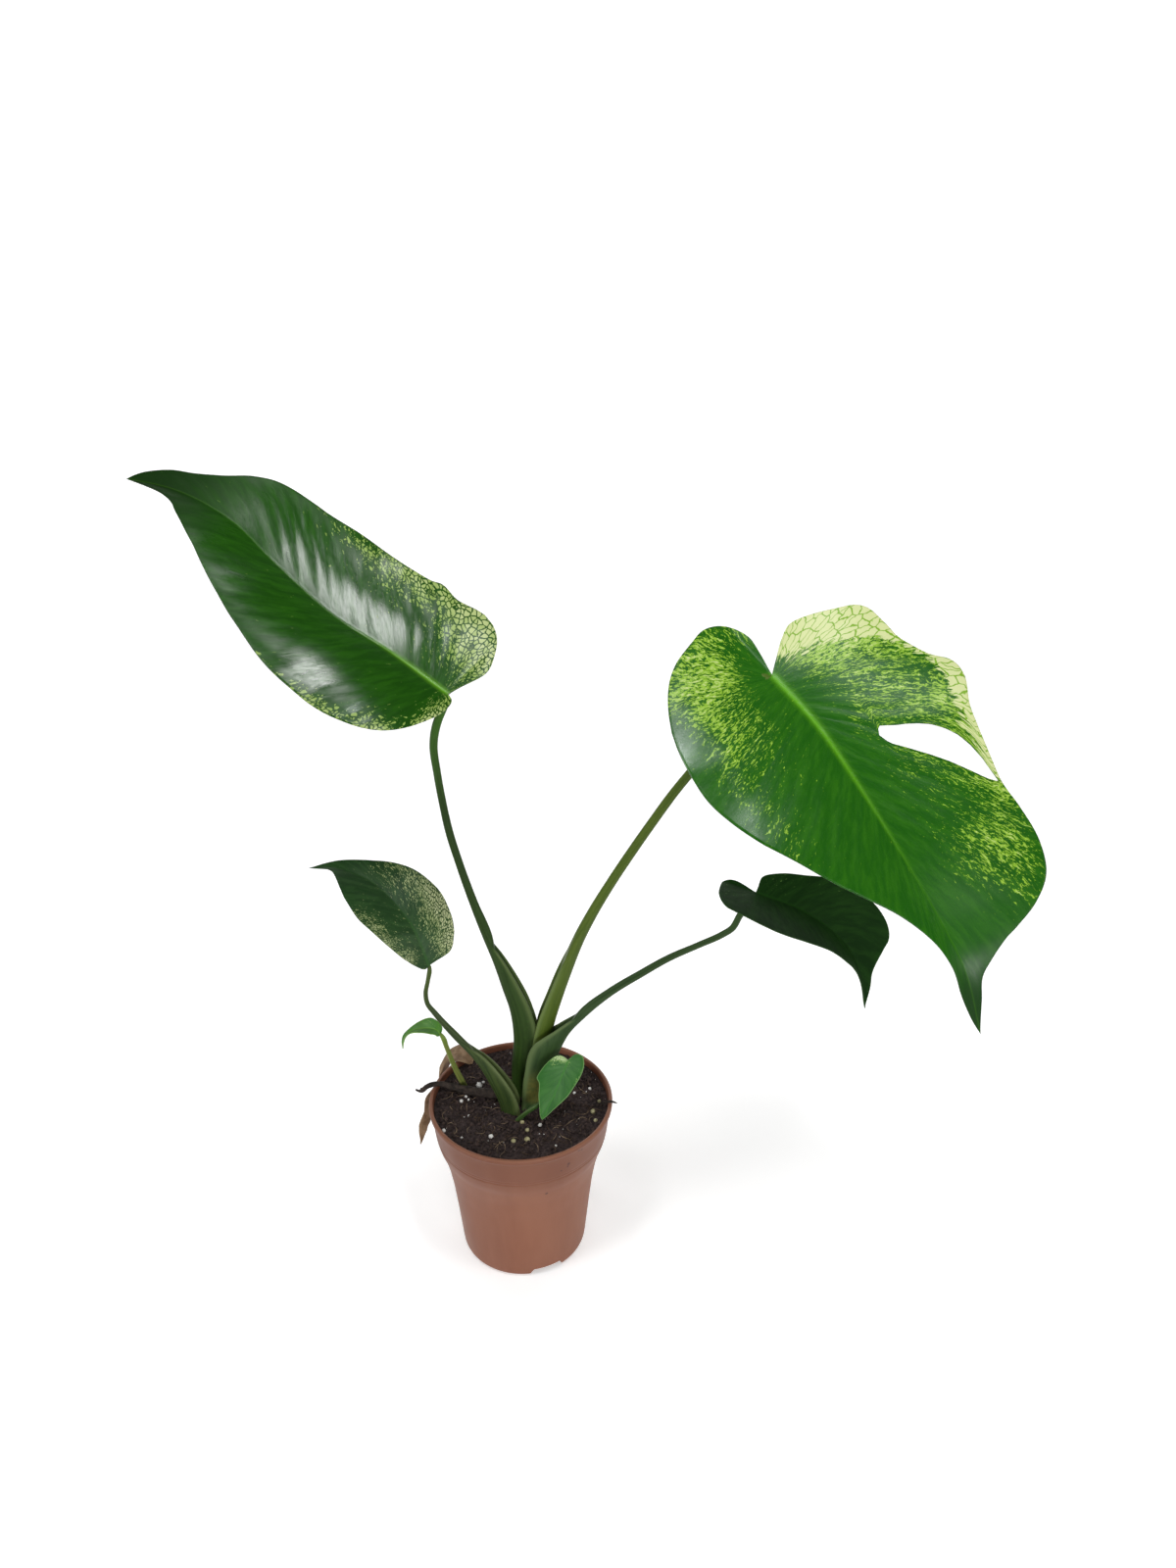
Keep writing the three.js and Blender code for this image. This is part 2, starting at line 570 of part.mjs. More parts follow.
const lowRightStalk = {
  facing: [-1, 0.1, 0],
  steps: 25,
  stations: [[9, -6, 96.5, 5.2, 10, 6], [13.5, -5, 111, 6, 12.5, 9.5], [19, -2.5, 132.5, 6.4, 16, 14],
    [26, 0, 152.5, 6.2, 17, 15], [32, 1, 165, 4.4, 8.6, 6], [42, 1.5, 177, 3, 4.2, -1.5],
    [60, 3, 193.5, 2.5, 2.5, -2.5], [78, 4, 206, 2.3, 2.3, -2.3], [95, 5, 217, 2.1, 2.1, -2.1],
    [113, 6, 226, 1.9, 1.9, -1.9], [128, 6, 234, 2, 2, -2], [134.5, 5.5, 239.5, 2, 2, -2],
    [138.5, 5, 248.5, 2, 2, -2], [142.5, 5, 257, 2, 2, -2], [146.5, 5, 264.5, 1.8, 1.8, -1.8]],
};

const lowLeftStalk = {
  facing: [1, 0, 0],
  steps: 24,
  stations: [[-9, -10, 96.5, 5, 9, 5.5], [-12, -10, 110, 5.4, 12.5, 10],
    [-13.7, -9.7, 119, 5.2, 12.8, 10.8],
    [-20, -8.5, 134.5, 4.4, 11, 9], [-26, -7, 146, 3.6, 8, 5.5], [-33, -5, 155, 2.7, 4.6, 0.5],
    [-41, -4, 164.5, 2.2, 2.5, -2.1], [-48, -2.5, 173, 2, 2, -2], [-54, -1, 181, 1.7, 1.7, -1.7],
    [-58.3, 0, 187.5, 1.5, 1.5, -1.5], [-59.3, 0, 196, 1.4, 1.4, -1.4],
    [-57.3, 1, 206, 1.3, 1.3, -1.3], [-56, 2, 213.5, 1.3, 1.3, -1.3]],
};

const smallLeftStalk = {
  facing: [1, 0, 0.3],
  steps: 14,
  stations: roundStations([[-37.5, 14, 98, 2], [-40, 14, 111, 2], [-44, 13, 123, 1.9],
    [-47.5, 12, 136, 1.6], [-50, 11, 147, 1.5], [-52.3, 10, 156.4, 1.3]]),
};

const smallFrontStalk = {
  facing: [-0.3, 0.4, 1],
  steps: 14,
  stations: [[-1, -18.5, 98, 2.4, 2.4, -1.5], [0, -19, 110, 2.6, 2.6, 0.5],
    [6, -20.5, 118.5, 2.6, 2.6, 1.2], [13, -20.5, 124.5, 2.3, 2.3, 0.8],
    [23, -17.5, 135, 1.7, 1.7, -1.2], [29.5, -13.5, 145, 1.4, 1.4, -1.2],
    [32.5, -11, 152, 1.2, 1.2, -1.2]],
};

const witheredStalk = {
  facing: [0, 0, 1],
  steps: 16,
  stations: roundStations([[-8, 1, 108, 2.8], [-12, 1.5, 111.5, 3.1], [-19, 2.8, 112.4, 3.2],
    [-28, 4.7, 112.4, 3.1], [-37, 7, 112.6, 2.7], [-46, 9.6, 113.6, 2.3], [-54, 10.7, 115.4, 1.8],
    [-58, 10.2, 115.8, 1.7], [-62, 9, 115, 1.6], [-65.5, 7.6, 112.6, 1.9], [-67.5, 8.2, 112.2, 1.1],
    [-70.5, 9.6, 112.8, 0.6]]),
};

/** The pot's wall radius outside at a height, without the rim and the rounded foot. */
const WALL = [[0, 41.4], [5, 42], [34, 44.9], [54, 47.2], [66, 49.2], [70, 50], [80, 52.6], [86, 54.9],
  [92, 56.4], [111, 58.6], [115, 58.8]];
const wallRadius = (z) => lookUp(WALL, z);

/** Thin walled pot: shoulder under a tall collar, lip at the rim, foot slots and drain holes. */
function potSolid() {
  const outer = [[0, 0], [8, 0], [9.5, 1.2], [29.5, 1.2], [31, 0], [POT_BASE_RADIUS, 0], [41, 1.4],
    [wallRadius(5), 5], [wallRadius(34), 34], [wallRadius(54), 54], [wallRadius(66), 66],
    [wallRadius(70), 70], [wallRadius(80), 80], [wallRadius(86), 86], [wallRadius(92), 92],
    [wallRadius(92.8) - 0.3, 92.8], [wallRadius(93.6), 93.6], [wallRadius(111), 111],
    [POT_TOP_RADIUS, 111.8], [POT_TOP_RADIUS, POT_HEIGHT - 0.8], [POT_TOP_RADIUS - 0.7, POT_HEIGHT]];
  const inner = [[wallRadius(POT_HEIGHT) - POT_WALL + 0.5, POT_HEIGHT], [wallRadius(113) - POT_WALL, 113],
    [wallRadius(92) - POT_WALL, 92], [wallRadius(86) - POT_WALL, 86], [wallRadius(80) - POT_WALL, 80],
    [wallRadius(66) - POT_WALL, 66], [wallRadius(34) - POT_WALL, 34],
    [wallRadius(6) - POT_WALL, 6], [38.5, 1.2 + FLOOR_THICKNESS], [0, 1.2 + FLOOR_THICKNESS]];
  const profile = [...outer, ...inner].map(([r, z]) => new THREE.Vector2(r, z));
  const lathe = new THREE.LatheGeometry(profile, POT_SIDES);
  lathe.rotateX(Math.PI / 2);
  let pot = solidOf(lathe);

  for (let i = 0; i < DRAIN_HOLES; i += 1) {
    const angle = ((i + 0.5) * 2 * Math.PI) / DRAIN_HOLES;
    const hole = new THREE.CylinderGeometry(DRAIN_HOLE_RADIUS, DRAIN_HOLE_RADIUS, 12, 14);
    hole.rotateX(Math.PI / 2);
    hole.translate(DRAIN_RING_RADIUS * Math.cos(angle), DRAIN_RING_RADIUS * Math.sin(angle), 0);
    pot = pot.subtract(solidOf(hole));
  }
  for (let i = 0; i < FOOT_SLOTS; i += 1) {
    const angle = THREE.MathUtils.degToRad(FOOT_SLOT_ANGLE) + (i * 2 * Math.PI) / FOOT_SLOTS;
    const slot = new THREE.Shape();
    const half = FOOT_SLOT_WIDTH / 2;
    slot.moveTo(-half, -1);
    slot.lineTo(half, -1);
    slot.lineTo(half - 2, FOOT_SLOT_HEIGHT);
    slot.lineTo(2 - half, FOOT_SLOT_HEIGHT);
    slot.closePath();
    const bar = new THREE.ExtrudeGeometry(slot, { depth: 9, bevelEnabled: false });
    bar.rotateX(Math.PI / 2);
    bar.rotateZ(Math.PI / 2);
    bar.translate(36, 0, 0);
    bar.rotateZ(angle);
    pot = pot.subtract(solidOf(bar));
  }
  return pot;
}

/** Height of the soil at a place: level near the wall, uneven, and a little mounded at the crown. */
function soilHeight(x, y) {
  const bumps = Math.sin(x * 0.31 + 1) * Math.cos(y * 0.27) + 0.6 * Math.sin(x * 0.13 - y * 0.17);
  const radius = Math.hypot(x, y);
  const mound = 1.2 * Math.exp(-((radius / 22) ** 2));
  const calm = 1 - Math.min(radius / 60, 1) ** 4;
  return SOIL_LEVEL - 0.6 + mound + 0.7 * bumps * calm;
}

/** The soil fills the pot to just under the rim. */
function soilSolid() {
  const skin = new Skin();
  const clear = POT_WALL + GAP;
  const levels = [4, 34, 66, 80, 86, 92];
  const bottom = 1.2 + FLOOR_THICKNESS + GAP;
  const rim = wallRadius(SOIL_LEVEL) - clear;
  const fractions = [0.25, 0.5, 0.75, 0.92, 1];
  const rings = [[0, () => bottom], [36.5, () => bottom]];
  for (const z of levels) rings.push([Math.min(wallRadius(z) - clear, z < 5 ? 37.9 : 99), () => z]);
  for (const f of [...fractions].reverse()) rings.push([rim * f, soilHeight]);
  rings.push([0, soilHeight]);
  const at = ([radius, height], k) => {
    const angle = (k * 2 * Math.PI) / POT_SIDES;
    const [x, y] = [radius * Math.cos(angle), radius * Math.sin(angle)];
    return new THREE.Vector3(x, y, height(x, y));
  };
  for (let i = 0; i < rings.length - 1; i += 1) {
    for (let k = 0; k < POT_SIDES; k += 1) {
      const next = (k + 1) % POT_SIDES;
      skin.quad(at(rings[i], k), at(rings[i], next), at(rings[i + 1], next), at(rings[i + 1], k));
    }
  }
  return solidOf(skin.geometry());
}

/** The short thick rootstock in the soil that all stalks of the crown stand on. */
function rootstockSolid(grow = 0) {
  const top = ROOTSTOCK_TOP + grow;
  const profile = [[0, 70 - grow], [4 + grow, 71 - grow], [7 + grow, 80], [9.5 + grow, 90],
    [11 + grow, top - 1], [10 + grow, top], [0, top]];
  const lathe = new THREE.LatheGeometry(profile.map(([r, z]) => new THREE.Vector2(r, z)), 20);
  lathe.rotateX(Math.PI / 2);
  lathe.translate(3, -4, 0);
  return solidOf(lathe);
}

const group = new THREE.Group();

function addPiece(name, solid, look) {
  const material = new THREE.MeshStandardMaterial({ metalness: 0, ...look });
  const mesh = new THREE.Mesh(geometryOf(solid), material);
  mesh.name = name;
  group.add(mesh);
}

// Name, stalk, blade, and the looks of the two.
const leaves = [
  ['low_left', lowLeftStalk, lowLeft, materials.darkStalk, materials.darkLeaf],
  ['low_right', lowRightStalk, lowRight, materials.darkStalk, materials.darkLeaf],
  ['tall_left', tallLeftStalk, tallLeft, materials.darkStalk, materials.darkLeaf],
  ['split_right', splitRightStalk, splitRight, materials.oliveStalk, materials.darkLeaf],
  ['small_front', smallFrontStalk, smallFront, materials.paleStalk, materials.brightLeaf],
  ['small_left', smallLeftStalk, smallLeft, materials.paleStalk, materials.brightLeaf],
];

addPiece('nursery_pot', potSolid(), materials.pot);

// Each stalk is cut clear of its own blade and of the stalks before it in the list, which wrap
// round it. The soil gets a plain hole for every stalk and for the rootstock.
let soil = soilSolid().subtract(rootstockSolid(GAP));
const before = [];
for (const [name, stalk, blade, stalkLook, bladeLook] of leaves) {
  let solid = cutClearOf(stalkSolid(stalk), bladeSolid(blade));
  for (const other of before) solid = solid.subtract(other);
  solid = solid.subtract(rootstockSolid(GAP));
  const inflated = stalkSolid(stalk, GAP);
  before.push(inflated);
  soil = soil.subtract(inflated);
  addPiece(`${name}_stalk`, largestBody(solid), stalkLook);
  addPiece(`${name}_blade`, bladeSolid(blade), bladeLook);
}

const witheredInflated = stalkSolid(witheredStalk, GAP);
let withered = stalkSolid(witheredStalk);
for (const other of before) withered = withered.subtract(other);
addPiece('withered_stalk', largestBody(withered), materials.withered);

addPiece('dry_leaf', bladeSolid(dryHanging), materials.dryLeaf);
soil = soil.subtract(witheredInflated).subtract(bladeSolid(dryHanging, GAP));
addPiece('rootstock', rootstockSolid(), materials.root);
addPiece('potting_soil', largestBody(soil), materials.soil);

export default group;
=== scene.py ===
"""Looks of a potted variegated aroid: leaves with netted marks, sheathed stalks, soil and pot.

Sizes are in mm, and MM turns them into metres. Leaf coordinates are u across the blade, above 0 on
its right half, and v along the midrib from the stalk."""

import math

import bmesh
import bpy
import numpy as np
from mathutils import Matrix


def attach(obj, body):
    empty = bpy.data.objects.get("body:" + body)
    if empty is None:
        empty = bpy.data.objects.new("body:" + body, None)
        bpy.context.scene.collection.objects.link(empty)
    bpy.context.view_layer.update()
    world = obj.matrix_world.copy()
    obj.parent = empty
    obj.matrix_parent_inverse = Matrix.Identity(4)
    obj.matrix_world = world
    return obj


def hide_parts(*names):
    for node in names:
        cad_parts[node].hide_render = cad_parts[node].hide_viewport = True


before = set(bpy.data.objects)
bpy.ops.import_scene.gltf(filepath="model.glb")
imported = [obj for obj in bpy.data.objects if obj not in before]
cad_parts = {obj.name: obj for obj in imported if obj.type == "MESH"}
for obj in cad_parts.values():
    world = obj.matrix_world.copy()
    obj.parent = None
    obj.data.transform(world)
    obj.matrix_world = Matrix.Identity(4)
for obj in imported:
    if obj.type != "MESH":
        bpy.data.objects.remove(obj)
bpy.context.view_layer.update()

MM = 0.001
draw = np.random.default_rng(11)

# Sizes shared with the solids. Of a leaf, midrib is its curve and face the way its upper side looks
# along it. fold, roll and wave bend the sheet across it, and rib is the ridge under the midrib.
# right and left are points of the margins between the stalk and the tip: u, v and the v where their
# side vein leaves the midrib. rows pairs such a v with the number of the row of side veins. A slit
# opens along one row: near and far are its banks, as shares of the way out and distances from it.
TALL_LEFT = dict(
    midrib=[(-34, 0, 396), (-66, 15, 415), (-101, 32, 432), (-136, 50, 458), (-161, 62, 479),
            (-196, 76, 494), (-226, 84, 499)],
    face=[(0.25, -0.62, 0.74), (0.25, -0.62, 0.74), (0.15, -0.55, 0.82)],
    fold=0.22, roll=-3.5, wave=0.6, wave_length=62, half_width=50, phase=0.6, rib=1.4,
    rows=[(0, 0), (2.4, 7), (30, 13), (236.5, 31)],
    right=[(8, -3, 0.4), (23, -8.5, 0.9), (35, -5.5, 1.4), (45.5, 1, 1.9), (51.5, 11, 2.6),
           (52, 20, 4), (50, 33, 8), (53, 44, 12), (51, 51, 16), (50.5, 64, 24), (51, 92, 42),
           (49.5, 109, 56), (44.5, 128, 72), (42, 143, 86), (37.5, 160, 104), (30, 173, 122),
           (20.5, 185, 142), (14, 199, 164), (11, 213, 184), (7, 226, 204), (3.5, 232.5, 216)],
    left=[(-3, -5, 0.3), (-14, -6, 0.6), (-27, -2.5, 1.1), (-38, 2.5, 1.6), (-46.5, 9, 2.3),
          (-52.5, 17.5, 4), (-57, 28, 8), (-60, 39, 14), (-60.5, 50, 21), (-58.5, 63, 30),
          (-54.5, 84, 46), (-49.5, 104, 62), (-46, 119, 76), (-40, 138, 94), (-34, 157, 114),
          (-27.5, 173, 134), (-18, 190, 158), (-12, 198.5, 172), (-7.5, 209, 188), (-4, 221, 204),
          (-1.5, 230, 216)])

SPLIT_RIGHT = dict(
    midrib=[(141, -28, 417), (161, -48, 399), (184, -74, 370), (201, -96, 346), (218, -116, 320),
            (228, -128, 302), (240, -134, 265)],
    face=[(-0.05, -0.62, 0.78), (-0.05, -0.66, 0.74), (0.05, -0.8, 0.6)],
    fold=0.2, roll=-3, wave=2, wave_length=85, half_width=70, phase=1, rib=1.8,
    rows=[(0, 0), (2.8, 10), (30, 18), (215.5, 34)],
    right=[(-3.5, -15, 0.3), (-4.5, -26, 0.6), (1, -37.5, 0.9), (12, -42, 1.2), (24, -39, 1.5),
           (40, -33, 1.9), (52, -24, 2.3), (63, -10, 2.8), (71, 5, 4), (75, 21, 8), (75, 42, 15),
           (70, 62, 25), (62, 80, 37), (52, 96, 50), (41, 112, 66), (29, 127, 84), (18, 142, 104),
           (9, 160, 130), (6, 175, 152), (6, 190, 172), (3.5, 204, 190)],
    left=[(-8, -6, 0.3), (-17, -12.5, 0.6), (-26, -16.5, 0.9), (-37, -14, 1.2), (-51, -8, 1.6),
          (-61, -3, 2), (-65.5, 4, 2.5), (-66.5, 16, 4), (-66.5, 25, 6), (-72, 37, 9),
          (-79.5, 45, 12), (-79, 54, 15), (-72, 66, 18), (-69, 78, 21), (-66, 94, 26),
          (-64, 107, 30), (-64.5, 122, 40), (-63, 140, 54), (-57, 155, 70), (-46, 164, 86),
          (-32, 170, 104), (-24, 173, 118), (-14, 179, 136), (-7, 186, 156), (-4, 198, 180)],
    slit=dict(
        side=-1, row=18,
        near=[(0.36, 0), (0.385, -5), (0.41, -7.8), (0.46, -10), (0.52, -12.5), (0.6, -16.5),
              (0.68, -20), (0.76, -22.8), (0.84, -23.6), (0.9, -22), (0.94, -18), (0.965, -12),
              (0.98, 0)],
        far=[(0.36, 0), (0.385, 2.4), (0.41, 3.1), (0.5, 2.2), (0.6, 1.6), (0.72, 0.8), (0.82, 1.2),
             (0.91, 1.8), (0.96, 1), (0.98, 0)]))

LOW_RIGHT = dict(
    midrib=[(146, 5, 266), (172, 5, 255), (191, 5, 242), (207, 3, 225), (215, 0, 206),
            (218, -3, 187)],
    face=[(0.25, -0.35, 0.9), (0.45, -0.45, 0.7), (0.7, -0.6, 0.3)],
    fold=0.42, roll=-3, wave=1, wave_length=50, half_width=35, phase=0.5, rib=1,
    rows=[(0, 0), (2, 7), (114.5, 23)],
    right=[(-3, -13.5, 0.4), (0, -21.5, 0.8), (10, -25.5, 1.1), (22, -27.5, 1.5), (32, -24.5, 1.9),
           (36.5, -14, 2.4), (39.5, -4, 3.2), (42.5, 5, 6), (41, 15, 11), (34, 30.5, 20),
           (27, 48, 32), (18.5, 68, 48), (11.5, 79, 60), (6.5, 88, 70), (4.5, 96, 80), (3, 105, 92)],
    left=[(-5, 0.5, 0.5), (-10.5, 1.3, 1), (-14, 5, 2), (-18.5, 15, 6), (-22, 26, 11),
          (-27.5, 39.5, 18), (-31, 50, 24), (-33.5, 60, 31), (-34.5, 69, 39), (-32.5, 77, 48),
          (-28, 82.5, 57), (-21, 85.5, 65), (-13, 90, 74), (-8, 95, 82), (-5, 103, 92)])

LOW_LEFT = dict(
    midrib=[(-55, 2, 215), (-65, 10, 239), (-89, 24, 261), (-113, 34, 267), (-134, 44, 262)],
    face=[(0.35, -0.55, 0.75), (0.3, -0.5, 0.8), (0.2, -0.5, 0.85)],
    fold=0.22, roll=-5, wave=0.8, wave_length=45, half_width=26, phase=0.3, rib=0.8,
    rows=[(0, 0), (1.6, 5), (113, 22)],
    right=[(4, 2, 0.3), (9.5, 2, 0.6), (16, 3.5, 1), (20.5, 9, 1.8), (24, 16.5, 3.5), (26.5, 25, 7),
           (28, 34.5, 12), (26.5, 43.5, 18), (23.5, 53.5, 26), (18.5, 63.5, 36), (13, 73, 47),
           (8.5, 83, 60), (4.5, 95, 76), (1.8, 106, 92)],
    left=[(-4, 0, 0.4), (-8.5, 4, 1), (-14, 10.5, 2.2), (-18, 17, 4.5), (-22, 25.5, 9),
          (-25, 34, 14), (-27, 42.5, 20), (-27.5, 50, 26), (-25.5, 59, 34), (-21, 70.5, 44),
          (-15, 78.5, 54), (-9, 85, 64), (-4.5, 90.5, 74), (-2, 96, 82), (-1, 104, 92)])

SMALL_LEFT = dict(
    midrib=[(-52, 10, 157), (-54, 10, 161), (-58, 10, 162.5), (-64, 9, 163), (-70, 8, 162),
            (-74, 7, 159), (-75.5, 6, 155), (-76, 5, 150)],
    face=[(0.3, -0.35, 0.9), (-0.35, -0.35, 0.88), (-0.95, -0.3, 0.1)],
    fold=0.35, roll=-2, wave=0.4, wave_length=20, half_width=7, phase=0, rib=0.4,
    rows=[(0, 0), (1, 2), (35.6, 16)],
    right=[(3, 2, 0.5), (5.5, 5.5, 1.5), (7, 9, 3), (6.5, 12, 5), (5, 16, 8), (3, 20, 12),
           (2, 24, 16), (2, 29, 22), (1.5, 33, 28)],
    left=[(-3, 1.5, 0.5), (-5, 6, 1.5), (-5.5, 10, 3.5), (-4.5, 15, 7), (-3.3, 19, 11),
          (-2, 23, 15), (-1.8, 27, 20), (-1.8, 31, 25)])

SMALL_FRONT = dict(
    midrib=[(31.5, -11, 153.5), (29, -14, 148), (26, -18, 142), (22.5, -23, 135), (18, -28, 128),
            (15, -31, 122.5)],
    face=[(-0.1, -0.8, 0.6), (-0.15, -0.85, 0.5), (-0.2, -0.9, 0.4)],
    fold=0.2, roll=-6, wave=0.5, wave_length=25, half_width=14, phase=0, rib=0.4,
    rows=[(0, 0), (1, 4), (12, 10), (40.5, 19)],
    right=[(4, -1, 0.3), (7, -0.5, 0.6), (10, 2.5, 1.1), (12.5, 8, 2.5), (14, 13.5, 5),
           (14.5, 17.5, 7), (11.8, 20.4, 9), (9, 28, 14), (5.3, 33.5, 20), (2.3, 38.5, 28)],
    left=[(-2, -4.2, 0.3), (-5, -6.2, 0.6), (-8.5, -5.5, 0.9), (-11, -1, 1.5), (-11.5, 5, 3),
          (-10.5, 12, 6), (-8.7, 20, 10.5), (-6.2, 25.5, 15), (-4, 31, 21), (-2, 36.5, 28)])

DRY_LEAF = dict(
    midrib=[(-35, 37, 113.4), (-41, 41, 116.45), (-48, 43.5, 114.3), (-54.5, 37.5, 103),
            (-61, 28, 87), (-67, 19, 73), (-72.5, 12, 59)],
    face=[(-0.2, -0.2, 0.95), (-0.8, 0.4, 0.4), (-0.85, 0.3, -0.2)],
    fold=0.4, roll=0, wave=1, wave_length=24, half_width=9, phase=0, rib=0,
    rows=[(0, 0), (1.5, 3), (79, 18)],
    right=[(3, 2, 0.6), (6.5, 7, 2.5), (9.5, 16, 8), (10, 28, 18), (9.5, 42, 31), (8.5, 56, 45),
           (5, 69, 60)],
    left=[(-3, 2, 0.6), (-6.5, 7, 2.5), (-9, 16, 8), (-10, 28, 18), (-10, 42, 31), (-9, 56, 45),
          (-5.5, 69, 60)])


def stalk_of(facing, stations):
    """A stalk's table. facing is the way its sheath opens. A station is x, y, z of the outer edge,
    half the width, the depth and how deep the sheath is hollow, below 0 where it is rounded. Four
    numbers give a round station: its radius is also the depth, and taken from 0 the hollow."""
    full = [s if len(s) > 4 else (*s, s[3], -s[3]) for s in stations]
    return dict(facing=facing, stations=full)


TALL_LEFT_STALK = stalk_of(
    facing=(1, 0, 0),
    stations=[(-2, 6, 96.5, 5, 10, 6), (-6, 7, 118, 5.4, 14, 11.6),
              (-5.7, 7.5, 137, 5.4, 16.5, 14.6), (-4.2, 8, 157, 5.2, 16.4, 14.8),
              (-6.3, 8.5, 179, 4.9, 13.6, 12), (-10, 8.5, 193, 4.6, 11.8, 10.2),
              (-16, 9, 215, 3.6, 7, 4.8), (-20.5, 9.5, 228.5, 2.8, 3.4, -2.2),
              (-29, 9.5, 257, 2.5, 2.6, -2.5), (-36, 9, 284, 2.3), (-41, 10, 304, 2.3),
              (-44, 10, 324, 2.2), (-46, 9, 343, 2.2), (-47, 7, 363, 2.3), (-44.5, 4, 376, 2.4),
              (-39.5, 1.5, 388, 2.3), (-36.5, 0.5, 394, 2.2)])

SPLIT_RIGHT_STALK = stalk_of(
    facing=(-1, 0, 0),
    stations=[(11, 3, 96.5, 3.6, 7, 1.5), (14, 3, 120, 4, 8.5, 4), (17, 4.5, 142, 4.4, 10, 6),
              (23, 6.5, 171, 4.8, 11, 6.5), (27.6, 6, 188, 4.5, 9.8, 4.5),
              (33.6, 4, 209, 4.2, 8.5, 1.5), (41.8, 1, 235, 3.6, 5.5, -1.5),
              (50.2, -2, 256, 3.1, 3.5, -2.9), (60, -5, 277, 2.9), (71.5, -8, 299, 2.8),
              (83, -11, 320, 2.7), (95, -14, 341, 2.6), (108, -18.5, 362, 2.5),
              (122, -22.5, 384, 2.4), (134, -26, 403, 2.4), (141, -28, 415, 2.2)])

LOW_RIGHT_STALK = stalk_of(
    facing=(-1, 0.1, 0),
    stations=[(9, -6, 96.5, 5.2, 10, 6), (13.5, -5, 111, 6, 12.5, 9.5),
              (19, -2.5, 132.5, 6.4, 16, 14), (26, 0, 152.5, 6.2, 17, 15),
              (32, 1, 165, 4.4, 8.6, 6), (42, 1.5, 177, 3, 4.2, -1.5), (60, 3, 193.5, 2.5),
              (78, 4, 206, 2.3), (95, 5, 217, 2.1), (113, 6, 226, 1.9), (128, 6, 234, 2),
              (134.5, 5.5, 239.5, 2), (138.5, 5, 248.5, 2), (142.5, 5, 257, 2),
              (146.5, 5, 264.5, 1.8)])

LOW_LEFT_STALK = stalk_of(
    facing=(1, 0, 0),
    stations=[(-9, -10, 96.5, 5, 9, 5.5), (-12, -10, 110, 5.4, 12.5, 10),
              (-13.7, -9.7, 119, 5.2, 12.8, 10.8), (-20, -8.5, 134.5, 4.4, 11, 9),
              (-26, -7, 146, 3.6, 8, 5.5), (-33, -5, 155, 2.7, 4.6, 0.5),
              (-41, -4, 164.5, 2.2, 2.5, -2.1), (-48, -2.5, 173, 2), (-54, -1, 181, 1.7),
              (-58.3, 0, 187.5, 1.5), (-59.3, 0, 196, 1.4), (-57.3, 1, 206, 1.3),
              (-56, 2, 213.5, 1.3)])

SMALL_FRONT_STALK = stalk_of(
    facing=(-0.3, 0.4, 1),
    stations=[(-1, -18.5, 98, 2.4, 2.4, -1.5), (0, -19, 110, 2.6, 2.6, 0.5),
              (6, -20.5, 118.5, 2.6, 2.6, 1.2), (13, -20.5, 124.5, 2.3, 2.3, 0.8),
              (23, -17.5, 135, 1.7, 1.7, -1.2), (29.5, -13.5, 145, 1.4, 1.4, -1.2),
              (32.5, -11, 152, 1.2)])

SMALL_LEFT_STALK = stalk_of(
    facing=(1, 0, 0.3),
    stations=[(-37.5, 14, 98, 2), (-40, 14, 111, 2), (-44, 13, 123, 1.9), (-47.5, 12, 136, 1.6),
              (-50, 11, 147, 1.5), (-52.3, 10, 156.4, 1.3)])

WITHERED_STALK = stalk_of(
    facing=(0, 0, 1),
    stations=[(-8, 1, 108, 2.8), (-12, 1.5, 111.5, 3.1), (-19, 2.8, 112.4, 3.2),
              (-28, 4.7, 112.4, 3.1), (-37, 7, 112.6, 2.7), (-46, 9.6, 113.6, 2.3),
              (-54, 10.7, 115.4, 1.8), (-58, 10.2, 115.8, 1.7), (-62, 9, 115, 1.6),
              (-65.5, 7.6, 112.6, 1.9), (-67.5, 8.2, 112.2, 1.1), (-70.5, 9.6, 112.8, 0.6)])

WALL = [(0, 41.4), (5, 42), (34, 44.9), (54, 47.2), (66, 49.2), (70, 50), (80, 52.6), (86, 54.9),
        (92, 56.4), (111, 58.6), (115, 58.8)]

# Surfaces: the numbers that scatter the hash of a lattice point, the distance within which points
# are merged and the length of edges too short to keep.
HASH_X, HASH_Y, HASH_SEED, HASH_SCALE = 127.1, 311.7, 74.7, 43758.5453
WELD = 0.002
SLIVER = 1e-7


def chord_knots(points):
    """Distances along a chain of points, starting at 0."""
    steps = np.linalg.norm(np.diff(np.asarray(points, float)[:, :3], axis=0), axis=1)
    return np.concatenate([[0.0], np.cumsum(steps)])


def smooth(knots, rows, t):
    """Cubic curve through the rows with span-weighted slopes, straight beyond its ends."""
    knots, rows, t = np.asarray(knots, float), np.asarray(rows, float), np.asarray(t, float)
    h = np.diff(knots)
    slope = np.diff(rows, axis=0) / h[:, None]
    m = np.vstack([slope[:1], (slope[:-1] * h[1:, None] + slope[1:] * h[:-1, None])
                   / (h[:-1] + h[1:])[:, None], slope[-1:]])
    i = np.clip(np.searchsorted(knots, t, side="right") - 1, 0, len(knots) - 2)
    s = (t - knots[i]) / h[i]
    q = np.clip(s, 0, 1)[..., None]
    s, span = s[..., None], h[i][..., None]
    inside = ((2 * q**3 - 3 * q**2 + 1) * rows[i] + (q**3 - 2 * q**2 + q) * span * m[i]
              + (3 * q**2 - 2 * q**3) * rows[i + 1] + (q**3 - q**2) * span * m[i + 1])
    return inside + np.minimum(s, 0) * span * m[i] + np.maximum(s - 1, 0) * span * m[i + 1]


